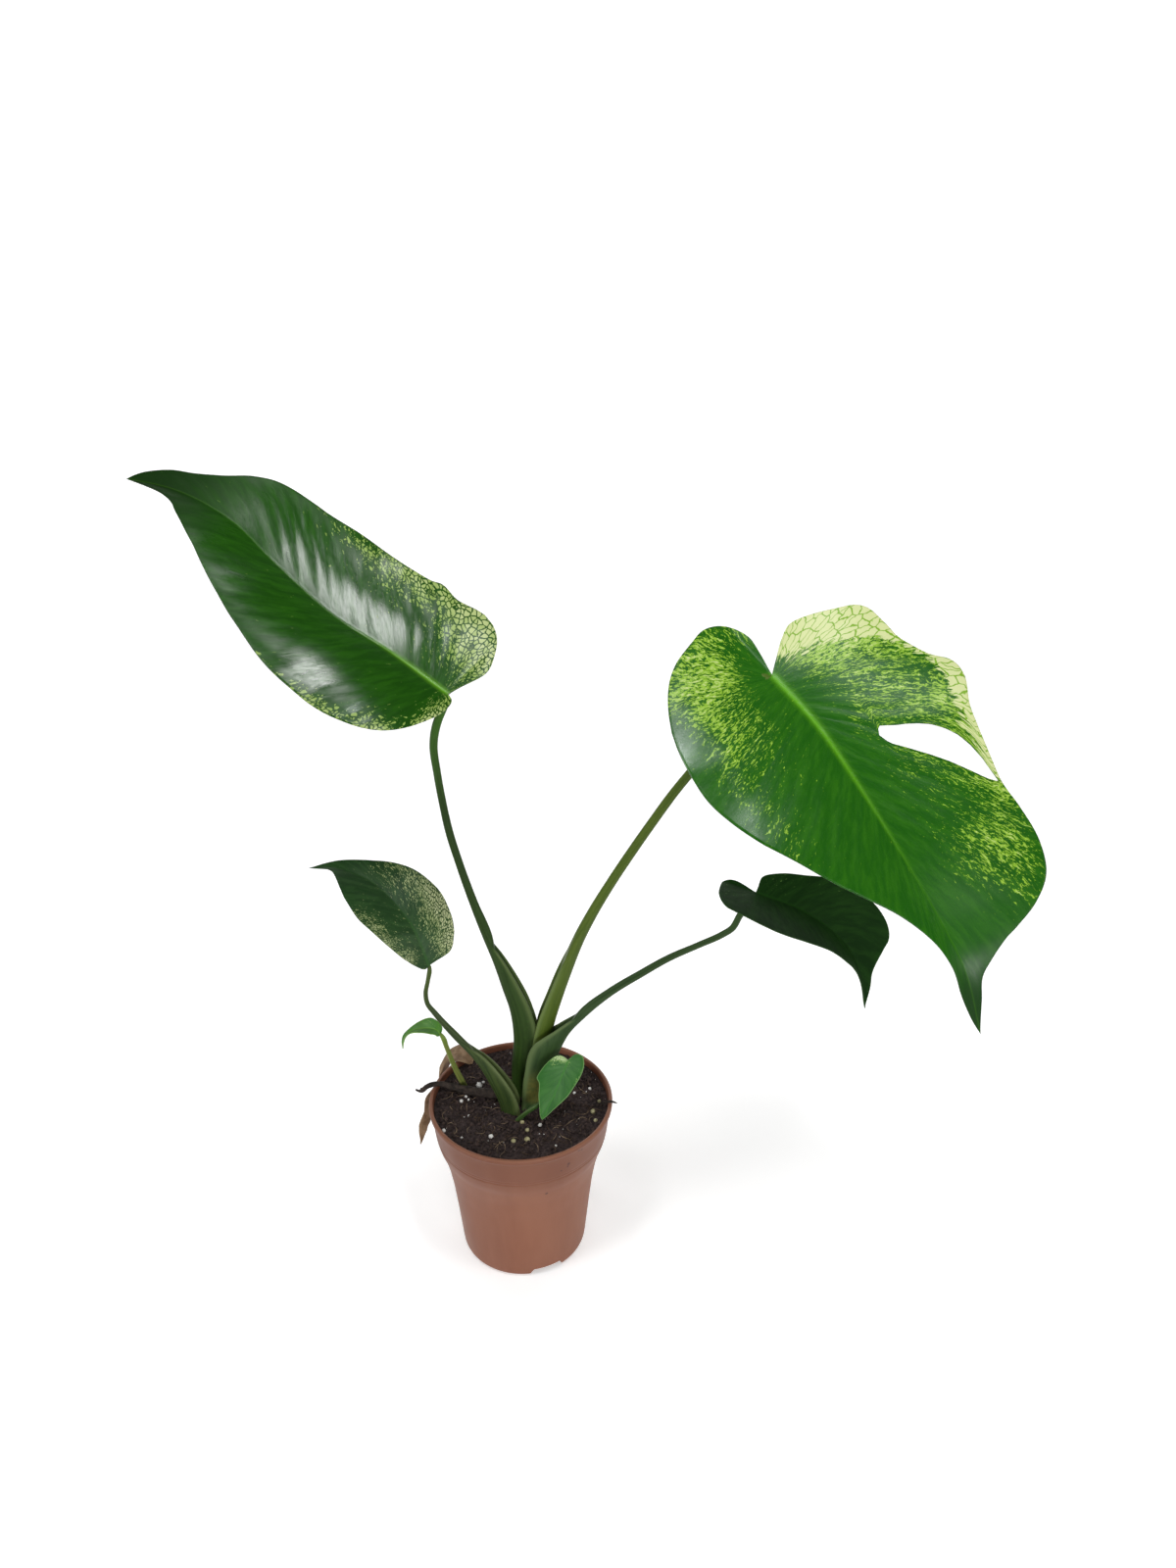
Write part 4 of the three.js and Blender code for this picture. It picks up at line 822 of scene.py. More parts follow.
def leaf_finish(name, dark, middle, fleck, cream, rib, rough, cell, lines=None, rib_reach=1.0,
                gloss=0.5, streaks=0.1, margin=None, tip=(150.0, 215.0)):
    """Leaf colour: dark to mid green in streaks along the side veins, with pale marks: meshes of a
    net if its lines are given, or else streaks. Past the cream line only wide meshes of fine green
    lines are left. The midrib is lighter and fades. Towards the tip the blade is duller and darker,
    and the darkening is painted shade. Gloss is full where the skin is wet."""
    f = Finish(name, rough)
    vein, _, _, v = f.value("vein")
    _, pale, rib_mask, edge = f.value("zone")
    _, wet, band, _ = f.value("skin")
    wander = f.bend(f.bend(vein, 0.09, 5.0), 0.7, 0.9)
    broad = f.grain(wander, 1 / 20, 1 / 5)
    uneven = f.step(pale, 0.0, 0.35, 0.12, 0.9 if lines else 0.6)
    level = f.plus(pale, f.times(f.math("SUBTRACT", broad, 0.5), uneven))
    level = f.plus(level, f.step(band, -14.0, -1.0, 0.0, 0.24), True)
    marks, tint = netted(f, wander, level, cell, lines) if lines else threaded(f, wander, level, cell)

    fringe = f.grain(wander, 1 / 16, 1 / 2.4, 4.0, 0.65)
    fringe = f.times(f.math("SUBTRACT", fringe, 0.5), 24.0)
    open_cream = f.step(f.plus(band, fringe), -0.7, 0.9)
    marks = f.times(marks, f.math("SUBTRACT", 1.0, open_cream))
    wide_net = f.cells(f.stretch(f.bend(vein, 0.16, 4.0), (1 / 8.5, 1 / 3.4, 0)), "DISTANCE_TO_EDGE")
    meshed = f.times(open_cream, f.step(wide_net.outputs["Distance"], 0.02, 0.085))

    green = f.mix(f.step(broad, 0.35, 0.7), dark, middle)
    # Painted shade: the green darkens towards the tip, between the two lengths given by tip.
    green = f.mix(f.step(v, *tip, 0.0, 0.9), green, tuple(0.4 * c for c in dark))
    green = f.mix(f.times(open_cream, 0.7), green, fleck)
    light = f.mix(f.math("MAXIMUM", tint, meshed), fleck, cream)
    color = f.mix(f.math("MAXIMUM", marks, meshed), green, light)
    reach = f.step(v, 10.0, 150.0 * rib_reach, 1.0, 0.12)
    color = f.mix(f.times(rib_mask, reach), color, rib)
    if margin:
        color = f.mix(f.step(edge, 0.75, 0.25), color, margin)
    f.set("Base Color", color)

    f.set("Specular IOR Level", f.step(wet, 0.0, 0.9, 0.2 * gloss, gloss))
    satin = f.step(f.grain(vein, 0.25, 0.5, 3.0, 0.5), 0.25, 0.75, rough - 0.03, rough + 0.06)
    f.set("Roughness", f.plus(satin, f.step(v, tip[0] - 10, tip[0] + 35, 0.0, 0.16)))
    streak = f.grain(wander, 1 / 22, 1 / 2.6)
    skin = f.times(f.grain(vein, 0.9, 1.3), 0.18)
    f.bump(f.plus(streak, skin), streaks)
    return f.material


def stalk_finish(name, low, high, top, edge_color, inside, flush=None, rough=0.42):
    """Stalk colour: lengthwise streaks between two greens, paler sheath margins and inside, and a
    flush of another colour low on the sheath if given."""
    f = Finish(name, rough)
    run, _, _, lip = f.value("run")
    _, along, inner, _ = f.value("place")
    streak = f.grain(run, 0.02, 0.5)
    spot = f.grain(run, 0.35, 0.6, 3.0)
    color = f.mix(f.step(streak, 0.35, 0.65), low, high)
    color = f.mix(f.step(along, 0.72, 0.98), color, top)
    color = f.mix(f.times(f.step(spot, 0.56, 0.7), 0.25), color, top)
    color = f.mix(f.times(inner, 0.7), color, inside)
    if flush:
        low_part = f.times(f.step(along, 0.075, 0.1), f.step(along, 0.14, 0.2, 0.65, 0.0))
        blotched = f.times(low_part, f.step(spot, 0.3, 0.6, 0.5, 1.0))
        color = f.mix(blotched, color, flush)
    f.set("Base Color", f.mix(lip, color, edge_color))
    f.set("Specular IOR Level", 0.12)
    f.bump(f.plus(streak, f.times(spot, 0.3)), 0.15, 0.5)
    return f.material


def plain_finish(name, first, second, rough, scale, grain, distance, detail=5.0):
    """Two colours mixed by a noise on the piece's own place, with a grain that stands out."""
    f = Finish(name, rough)
    place = f.position()
    f.set("Base Color", f.mix(f.step(f.noise(place, scale, detail, 0.6), 0.35, 0.65), first, second))
    f.set("Specular IOR Level", 0.2)
    f.bump(f.noise(place, grain, detail, 0.65), distance)
    return f.material


# Plain looks: two colours, roughness, lumps per metre of the clouds and of the grain, the grain's
# height and, if it isn't 5, the noise's detail.
PLAIN_LOOKS = {
    "dry_leaf_look": ((0.16, 0.1, 0.055), (0.28, 0.19, 0.115), 0.75, 160.0, 700.0, 0.3),
    "withered_look": ((0.012, 0.009, 0.007), (0.04, 0.029, 0.023), 0.8, 260.0, 1100.0, 0.3),
    "rootstock_look": ((0.07, 0.045, 0.02), (0.14, 0.09, 0.04), 0.85, 150.0, 500.0, 0.5),
    "soil_look": ((0.021, 0.014, 0.0135), (0.055, 0.038, 0.036), 0.95, 420.0, 1500.0, 0.8, 8.0),
    "crumb_look": ((0.021, 0.0145, 0.013), (0.064, 0.043, 0.037), 0.95, 300.0, 1800.0, 0.4, 6.0),
    "perlite_look": ((0.5, 0.49, 0.46), (0.78, 0.77, 0.74), 0.9, 500.0, 1600.0, 0.3),
    "bead_look": ((0.2, 0.18, 0.085), (0.36, 0.33, 0.19), 0.6, 420.0, 1200.0, 0.2),
    "light_fibre_look": ((0.14, 0.095, 0.06), (0.26, 0.19, 0.12), 0.8, 300.0, 900.0, 0.1),
    "dark_fibre_look": ((0.03, 0.018, 0.012), (0.08, 0.05, 0.03), 0.85, 300.0, 900.0, 0.1),
}
looks = {name: plain_finish(name, *given) for name, given in PLAIN_LOOKS.items()}

# The pot's colours, the heights where its collar darkens and its lip lightens, and the dark specks
# on its wall: x, y, z and reach.
POT_COLORS = (0.175, 0.063, 0.033), (0.2, 0.076, 0.041)
POT_DUST = (0.22, 0.1, 0.064)
POT_COLLAR = (0.105, 0.036, 0.02)
POT_LIP = (0.24, 0.105, 0.06)
POT_SPECK = (0.05, 0.02, 0.015)
COLLAR_FROM, COLLAR_FULL = 75, 100
LIP_FROM, LIP_FULL = 113.5, 115
POT_SPECKS = [(32, -47.9, 102.5, 1.3), (31.4, -48.1, 100.6, 0.9), (17.9, -49.4, 79.7, 1.3),
              (38.5, -44.2, 109.8, 1), (40.3, -42.6, 109, 1), (27.5, -50.4, 99, 0.8)]


def pot_finish():
    """Matte terracotta-coloured plastic: faint upright flow streaks, dust and a few dark specks."""
    f = Finish("pot_plastic_look")
    place = f.position()
    streak = f.noise(f.stretch(place, (60, 60, 9)), 1.0, 4.0, 0.6)
    cloud = f.noise(f.stretch(place, (22, 22, 14)), 1.0, 3.0, 0.5)
    color = f.mix(f.step(streak, 0.3, 0.7), *POT_COLORS)
    color = f.mix(f.times(f.step(cloud, 0.45, 0.75), 0.35), color, POT_DUST)
    parts = f.node("ShaderNodeSeparateXYZ")
    f.join(place, parts.inputs[0])
    height = parts.outputs[2]
    collar = f.step(height, COLLAR_FROM * MM, COLLAR_FULL * MM)
    color = f.mix(f.times(collar, 0.5), color, POT_COLLAR)
    lip = f.step(height, LIP_FROM * MM, LIP_FULL * MM)
    color = f.mix(f.times(lip, 0.5), color, POT_LIP)
    for x, y, z, reach in POT_SPECKS:
        away = f.node("ShaderNodeVectorMath", operation="DISTANCE")
        f.join(place, away.inputs[0])
        away.inputs[1].default_value = (x * MM, y * MM, z * MM)
        spot = f.step(away.outputs["Value"], 0.6 * reach * MM, reach * MM, 0.85, 0.0)
        color = f.mix(spot, color, POT_SPECK)
    f.set("Base Color", color)
    f.set("Specular IOR Level", 0.25)
    f.set("Roughness", f.step(cloud, 0.3, 0.7, 0.42, 0.58))
    f.bump(f.noise(place, 900.0, 3.0), 0.05, 0.5)
    return f.material


# Leaves and stalks. quilt is the height and spacing the width of the bands between side veins. pale
# and shine are spots of paler marks and of gloss: u, v, reach across, reach along and amount. cream
# is the line past which the blade is open cream.
LEAVES = {
    "tall_left": dict(
        spec=TALL_LEFT, stalk=TALL_LEFT_STALK, slots=("dark_leaf", "dark_stalk"),
        quilt=0.16, spacing=13.0, bulge=2.0,
        pale=[(50, 10, 22, 28, 0.95), (28, 8, 14, 20, 0.7), (36, -5, 20, 9, 0.85),
              (48, 52, 12, 24, 0.75), (46, 92, 10, 34, 0.42), (38, 70, 18, 44, 0.16),
              (-24, -5, 28, 8, 0.89), (-52, 12, 12, 16, 0.85), (-60, 44, 7, 30, 0.6),
              (-57, 82, 5, 30, 0.25)],
        shine=[(8, 20, 16, 26, 0.6), (18, 58, 24, 28, 0.9), (18, 92, 22, 26, 0.9),
               (8, 124, 14, 24, 0.9), (-43, 60, 10, 34, 0.9), (-24, 134, 14, 14, 0.85)]),
    "split_right": dict(
        spec=SPLIT_RIGHT, stalk=SPLIT_RIGHT_STALK, slots=("dark_leaf", "olive_stalk"),
        quilt=0.14, spacing=15.0,
        pale=[(-40, 26, 26, 22, 0.45), (-52, 54, 18, 22, 0.45), (-24, 10, 18, 12, 0.38),
              (-24, 48, 14, 14, 0.32), (-46, 94, 16, 12, 0.2), (-58, 112, 14, 30, 0.36),
              (-48, 142, 16, 26, 0.38), (-34, 76, 18, 14, 0.36), (-33, 130, 18, 32, 0.32),
              (-20, 120, 14, 40, 0.12), (16, -34, 24, 16, 0.48), (46, -22, 24, 20, 0.42),
              (24, -14, 16, 14, 0.36), (48, 6, 20, 34, 0.36), (56, 44, 14, 34, 0.3),
              (30, 14, 18, 34, 0.28), (50, 84, 12, 26, 0.28), (24, 60, 20, 60, 0.14)],
        shine=[(66, 20, 14, 50, 0.95), (60, -12, 14, 16, 0.6), (-12, 2, 14, 10, 0.6),
               (-20, 140, 30, 26, 0.5), (-4, 180, 6, 12, 0.35)],
        cream=[(-8, -60), (-8, -8), (-12, -2), (-30, 2), (-45, 11), (-61, 24), (-69, 33),
               (-71, 46), (-66, 60), (-63, 72), (-63, 84), (-61, 96), (-66, 112)]),
    "low_right": dict(
        spec=LOW_RIGHT, stalk=LOW_RIGHT_STALK, slots=("dark_leaf", "dark_stalk"),
        quilt=0.08, spacing=9.0,
        pale=[(-14, 8, 8, 10, 0.22), (-24, 34, 6, 16, 0.12), (10, -18, 12, 10, 0.1)]),
    "low_left": dict(
        spec=LOW_LEFT, stalk=LOW_LEFT_STALK, slots=("dark_leaf", "dark_stalk"),
        quilt=0.1, spacing=9.0,
        pale=[(25, 24, 9, 22, 0.95), (17, 8, 9, 8, 0.9), (14, 26, 9, 16, 0.5), (20, 50, 8, 18, 0.55),
              (11, 58, 9, 20, 0.26), (-14, 10, 9, 8, 0.82), (-22, 28, 6, 18, 0.62),
              (-25, 46, 5, 16, 0.42), (-12, 32, 10, 20, 0.14)],
        shine=[(0, 40, 40, 60, 0.5)]),
    "small_left": dict(
        spec=SMALL_LEFT, stalk=SMALL_LEFT_STALK, slots=("bright_leaf", "green_stalk"),
        quilt=0.1, spacing=4.0, pale=[(4, 8, 3, 5, 0.2)], shine=[(0, 15, 12, 20, 0.9)]),
    "small_front": dict(
        spec=SMALL_FRONT, stalk=SMALL_FRONT_STALK, slots=("bright_leaf", "green_stalk"),
        quilt=0.07, spacing=5.0,
        pale=[(5, -1, 5, 4, 0.97), (9, 2, 3, 5, 0.8), (0, 1, 3, 3, 0.5), (-11, 10, 2, 12, 0.3)],
        shine=[(0, 15, 20, 30, 0.7)]),
}

# Past the end of the short blades, so that they get no painted shade at the tip.
NO_TIP_SHADE = (200.0, 300.0)

# tip gives the lengths between which painted shade darkens a blade towards its tip.
LEAF_LOOKS = {
    "tall_left": dict(
        dark=(0.007, 0.042, 0.002), middle=(0.012, 0.062, 0.003), fleck=(0.19, 0.28, 0.06),
        cream=(0.33, 0.39, 0.16), rib=(0.09, 0.25, 0.01), rough=0.19, cell=(3.6, 2.4),
        lines=(0.09, 0.24), rib_reach=0.55, gloss=0.6, streaks=0.05),
    "split_right": dict(
        dark=(0.009, 0.072, 0.003), middle=(0.018, 0.1, 0.004), fleck=(0.2, 0.36, 0.025),
        cream=(0.46, 0.5, 0.24), rib=(0.085, 0.28, 0.004), rough=0.25, cell=(2.7, 0.85),
        gloss=0.6, streaks=0.06, tip=(162.0, 196.0)),
    # The low right leaf's greens are far darker than the other leaves'. This is partly its own colour
    # and partly painted shade of the leaf above it.
    "low_right": dict(
        dark=(0.005, 0.021, 0.0035), middle=(0.009, 0.034, 0.005), fleck=(0.06, 0.12, 0.03),
        cream=(0.2, 0.28, 0.09), rib=(0.01, 0.04, 0.006), rough=0.5, cell=(2.2, 1.0),
        lines=(0.09, 0.26), rib_reach=0.5, gloss=0.12, margin=(0.03, 0.07, 0.02), tip=NO_TIP_SHADE),
    "low_left": dict(
        dark=(0.009, 0.036, 0.007), middle=(0.02, 0.06, 0.014), fleck=(0.24, 0.29, 0.12),
        cream=(0.42, 0.45, 0.25), rib=(0.02, 0.07, 0.012), rough=0.4, cell=(2.4, 1.3),
        lines=(0.12, 0.26), rib_reach=0.4, gloss=0.4, tip=NO_TIP_SHADE),
    "small_left": dict(
        dark=(0.03, 0.13, 0.008), middle=(0.06, 0.18, 0.015), fleck=(0.16, 0.3, 0.04),
        cream=(0.3, 0.45, 0.1), rib=(0.1, 0.24, 0.03), rough=0.4, cell=(1.5, 0.9),
        lines=(0.09, 0.26), rib_reach=0.6, gloss=0.4, margin=(0.14, 0.27, 0.05)),
    "small_front": dict(
        dark=(0.018, 0.088, 0.013), middle=(0.035, 0.125, 0.022), fleck=(0.14, 0.24, 0.06),
        cream=(0.4, 0.5, 0.25), rib=(0.035, 0.14, 0.02), rough=0.42, cell=(1.6, 0.9),
        lines=(0.05, 0.2), gloss=0.3, rib_reach=0.5, margin=(0.1, 0.2, 0.06)),
}

STALK_LOOKS = {
    "tall_left": dict(
        low=(0.014, 0.032, 0.005), high=(0.022, 0.046, 0.008), top=(0.03, 0.09, 0.008),
        edge_color=(0.06, 0.09, 0.026), inside=(0.02, 0.044, 0.008)),
    "split_right": dict(
        low=(0.045, 0.075, 0.008), high=(0.062, 0.095, 0.012), top=(0.055, 0.1, 0.012),
        edge_color=(0.09, 0.13, 0.035), inside=(0.045, 0.08, 0.012)),
    "low_right": dict(
        low=(0.018, 0.04, 0.011), high=(0.028, 0.056, 0.016), top=(0.026, 0.056, 0.014),
        edge_color=(0.075, 0.11, 0.04), inside=(0.024, 0.048, 0.012), flush=(0.12, 0.11, 0.024)),
    "low_left": dict(
        low=(0.016, 0.03, 0.008), high=(0.036, 0.056, 0.014), top=(0.05, 0.075, 0.018),
        edge_color=(0.075, 0.1, 0.035), inside=(0.045, 0.066, 0.016)),
    "small_left": dict(
        low=(0.11, 0.15, 0.03), high=(0.17, 0.18, 0.05), top=(0.12, 0.18, 0.03),
        edge_color=(0.2, 0.24, 0.1), inside=(0.12, 0.16, 0.04)),
    "small_front": dict(
        low=(0.025, 0.06, 0.012), high=(0.045, 0.09, 0.022), top=(0.045, 0.1, 0.022),
        edge_color=(0.1, 0.15, 0.06), inside=(0.035, 0.07, 0.015)),
}

for name, given in LEAVES.items():
    blade_slot, stalk_slot = given["slots"]
    leaf = Leaf(given["spec"], given["quilt"], given["spacing"], given.get("bulge", 0.0))
    blade = blade_piece(f"{name}_blade_fine", leaf, given["pale"], given.get("shine", ()),
                        given.get("cream", ()))
    dress(blade, leaf_finish(f"{name}_look", **LEAF_LOOKS[name]), blade_slot, f"{name}_blade")
    stalk = stalk_piece(f"{name}_stalk_fine", joined_stalk(given["stalk"], leaf))
    dress(stalk, stalk_finish(f"{name}_stalk_look", **STALK_LOOKS[name]), stalk_slot, f"{name}_stalk")

dry = blade_piece("dry_leaf_fine", Leaf(DRY_LEAF, quilt=0.3, spacing=6.0), thin=0.4, crumple=0.55)
dress(dry, looks["dry_leaf_look"], "dry_leaf", "dry_leaf")

withered = stalk_piece("withered_stalk_fine", WITHERED_STALK, steps=120, around=22, rough=0.16)
dress(withered, looks["withered_look"], "withered", "withered_stalk")

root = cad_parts["rootstock"]
root.data.materials.clear()
root.data.materials.append(looks["rootstock_look"])

# Pot: sides round its axis, thickness of its wall, radius over the lip and height. Its drain holes
# stand on a ring round the axis, and the slots in its foot point away from it, angles in degrees.
POT_SEGMENTS = 192
POT_WALL = 1.5
POT_RADIUS = 60
POT_HEIGHT = 115
DRAIN_HOLES = 6
DRAIN_RADIUS = 3.5
DRAIN_RING = 22
DRAIN_SEGMENTS = 40
FOOT_SLOTS = 2
SLOT_ANGLE = -66
SLOT_START = 36
SLOT_DEPTH = 9
CUT_DEPTH = 6


def wall(z):
    """Outside radius of the pot's wall at a height."""
    return float(np.interp(z, *zip(*WALL)))


def pot_profile():
    """Half section of the pot from the axis below, up its outside, over the lip and down inside."""
    foot = [(0, 0), (8, 0), (9.5, 1.2), (29.5, 1.2), (31, 0), (38, 0), (40.2, 0.7), (41.6, 2.4)]
    outside = [(wall(z), z) for z in (6, 20, 34, 44, 54, 60, 66, 70, 75, 80, 83, 86, 89, 91.8)]
    groove = [(wall(92.2) - 0.25, 92.3), (wall(92.8) - 0.3, 92.8), (wall(93.4), 93.4),
              (wall(94.4), 94.2), (wall(95) - 0.15, 94.7), (wall(96), 95.4)]
    collar = [(wall(104), 104), (wall(110.6), 110.6)]
    lip = [(59.5, 111.4), (POT_RADIUS, 112), (POT_RADIUS, 114.2), (59.6, 114.8), (59, POT_HEIGHT),
           (58.2, POT_HEIGHT), (57.6, 114.7), (wall(112.5) - POT_WALL, 112.5)]
    inside = [(wall(z) - POT_WALL, z) for z in (104, 92, 86, 80, 66, 50, 34, 20, 6)]
    floor_top = [(38.5, 3.2), (0, 3.2)]
    return foot + outside + groove + collar + lip + inside + floor_top


def drain_hole(index):
    """A round cutter through the pot's floor."""
    angle = (index + 0.5) * 2 * math.pi / DRAIN_HOLES
    section = [(0, -CUT_DEPTH), (DRAIN_RADIUS, -CUT_DEPTH), (DRAIN_RADIUS, CUT_DEPTH), (0, CUT_DEPTH)]
    hole = lathe_piece(f"hole_{index}", section, DRAIN_SEGMENTS)
    ring = DRAIN_RING * MM
    hole.data.transform(Matrix.Translation((ring * math.cos(angle), ring * math.sin(angle), 0)))
    return hole


def foot_slot(index):
    """A cutter with a low arched section that runs outwards through the pot's foot."""
    angle = math.radians(SLOT_ANGLE) + index * 2 * math.pi / FOOT_SLOTS
    outward = np.array([math.cos(angle), math.sin(angle), 0])
    sideways = np.array([-math.sin(angle), math.cos(angle), 0])
    section = [(-11.5, -1), (11.5, -1), (11.4, 1), (10.6, 4), (9, 6), (-9, 6), (-10.6, 4), (-11.4, 1)]
    near = [outward * SLOT_START + sideways * a + np.array([0, 0, b]) for a, b in section]
    far = [p + outward * SLOT_DEPTH for p in near]
    count = len(section)
    sides = [(k, (k + 1) % count, (k + 1) % count + count, k + count) for k in range(count)]
    caps = [tuple(range(count))[::-1], tuple(range(count, 2 * count))]
    return mesh_piece(f"slot_{index}", near + far, sides + caps, weld=0)


pot = lathe_piece("nursery_pot_fine", eased(pot_profile()), POT_SEGMENTS)
carve(pot, [drain_hole(index) for index in range(DRAIN_HOLES)]
      + [foot_slot(index) for index in range(FOOT_SLOTS)])
dress(pot, pot_finish(), "pot_plastic", "nursery_pot")

# Soil: its gap to the pot's wall, its radius, and the rings and sides of its surface.
SOIL_GAP = 0.3
SOIL_RADIUS = wall(111) - POT_WALL - SOIL_GAP
SOIL_RINGS = 150
SOIL_SEGMENTS = 380


def soil_height(x, y):
    """The solid's uneven soil level: level near the wall, a little mounded at the crown."""
    bumps = np.sin(x * 0.31 + 1) * np.cos(y * 0.27) + 0.6 * np.sin(x * 0.13 - y * 0.17)
    radius = np.hypot(x, y)
    calm = 1 - np.clip(radius / 60, 0, 1) ** 4
    return 110.9 + 1.2 * np.exp(-((radius / 22) ** 2)) + 0.7 * bumps * calm


def crumbs(x, y):
    """Crumbly relief: soft lumps of three sizes, their hollows sharper than their tops."""
    ridge = 0.9 * (0.5 - np.abs(lumps(x, y, 5.2, 1))) + 0.6 * (0.5 - np.abs(lumps(x, y, 2.3, 2)))
    return ridge + 0.35 * lumps(x, y, 1.0, 4)


def soil_piece():
    """The soil: rings of its rough top from the middle out, then rings down the pot's inside."""
    radius = np.linspace(0.02, 1, SOIL_RINGS)[:, None] * SOIL_RADIUS
    angle = np.linspace(0, 2 * np.pi, SOIL_SEGMENTS, endpoint=False)
    x, y = radius * np.cos(angle), radius * np.sin(angle)
    near_wall = np.clip((SOIL_RADIUS - radius) / 2, 0, 1)
    top = np.stack([x, y, soil_height(x, y) + crumbs(x, y) * near_wall], -1)
    inset = POT_WALL + SOIL_GAP
    skirt = [(SOIL_RADIUS, 109)] + [(wall(z) - inset, z) for z in (92, 80, 66, 34)]
    skirt += [(37.9, 4), (36.5, 3.5), (0.3, 3.5)]
    sheet = np.concatenate([top, turned(skirt, SOIL_SEGMENTS)], 0)
    faces = grid_faces(sheet.shape[:2], 0, True, True)
    return mesh_piece("potting_soil_fine", sheet.reshape(-1, 3), faces)


dress(soil_piece(), looks["soil_look"], "potting_soil", "potting_soil")


def scatter(name, centres, sizes, squash, bumpy, rings=5, around=8):
    """Many small lumps in one mesh: spheres pulled out of round by hashed heights and turned."""
    a = np.linspace(0, np.pi, rings + 1)
    b = np.linspace(0, 2 * np.pi, around, endpoint=False)
    ball = np.stack([np.sin(a)[:, None] * np.cos(b), np.sin(a)[:, None] * np.sin(b),
                     np.cos(a)[:, None] + 0 * b], -1).reshape(-1, 3)
    count = len(centres)
    pull = 1 + bumpy * draw.uniform(-1, 1, (count, len(ball), 1))
    pull[:, :around] = pull[:, :1]
    pull[:, -around:] = pull[:, -1:]
    shape = ball[None] * pull * draw.uniform(1 - squash, 1, (count, 1, 3))
    spin = draw.uniform(0, 2 * np.pi, (count, 3))
    for axis in range(3):
        i, j = (axis + 1) % 3, (axis + 2) % 3
        c, s = np.cos(spin[:, axis])[:, None], np.sin(spin[:, axis])[:, None]
        first = shape[:, :, i] * c - shape[:, :, j] * s
        shape[:, :, j] = shape[:, :, i] * s + shape[:, :, j] * c
        shape[:, :, i] = first
    points = np.asarray(centres)[:, None] + shape * np.asarray(sizes)[:, None, None]
    return swarm_piece(name, points, (rings + 1, around), weld=0.0005)


def on_soil(count, reach=0.985):
    """Random places on the soil, even over its disc."""
    r = SOIL_RADIUS * reach * np.sqrt(draw.uniform(0, 1, count))
    turn = draw.uniform(0, 2 * np.pi, count)
    return r * np.cos(turn), r * np.sin(turn)


CRUMBS = 1500
crumb_x, crumb_y = on_soil(CRUMBS)
crumb_size = draw.uniform(0.35, 1.5, CRUMBS) ** 1.3
crumb_z = soil_height(crumb_x, crumb_y) + crumbs(crumb_x, crumb_y) + 0.15 * crumb_size
crumb_places = np.stack([crumb_x, crumb_y, crumb_z], 1)
loose = scatter("soil_crumbs", crumb_places, crumb_size, squash=0.5, bumpy=0.3, rings=4, around=7)
dress(loose, looks["crumb_look"], "potting_soil")

# Grains that show: x, y and radius. Smaller white specks lie between them.
WHITE_GRAINS = [(-28.7, 14.1, 2.6), (-26.5, 20.2, 1.3), (-17.2, -33.4, 1.9), (-39, -1.2, 1.5),
                (-47.6, -28, 1.3), (-29.8, 52, 1.2), (-9.9, 50.9, 1.0), (45.3, 13.1, 1.2),
                (34.9, 8.1, 1.0), (13.3, -22.5, 1.5), (23.8, -42.3, 1.0), (-32.9, -14.1, 1.1),
                (-35.7, -34.3, 1.0), (-36.5, 3.4, 1.4), (-34.5, 0.6, 1.1)]
BEADS = [(1.9, -21.6, 1.5), (5.4, -28, 1.5), (5.8, -37, 1.9), (-2.8, -37.9, 1.6), (47.2, -10.3, 1.7),
         (49, -18.8, 1.4), (51.4, 0.3, 1.3)]
SPECKS = 70


def resting(rows):
    """Centres and radii of grains that sit half sunk on the soil."""
    x, y, radius = np.array(rows, float).T
    height = soil_height(x, y) + crumbs(x, y) * 0.4
    return np.stack([x, y, height + radius * 0.55], 1), radius


speck_x, speck_y = on_soil(SPECKS)
specks = np.stack([speck_x, speck_y, draw.uniform(0.2, 0.5, SPECKS)], 1)
perlite = scatter("perlite_grains", *resting(WHITE_GRAINS + specks.tolist()), squash=0.35,
                  bumpy=0.22, rings=7, around=12)
dress(perlite, looks["perlite_look"], "potting_soil")
beads = scatter("yellowish_beads", *resting(BEADS), squash=0.12, bumpy=0.05, rings=8, around=14)
dress(beads, looks["bead_look"], "potting_soil")

FIBRE_STEPS = 7
FIBRE_SIDES = 4


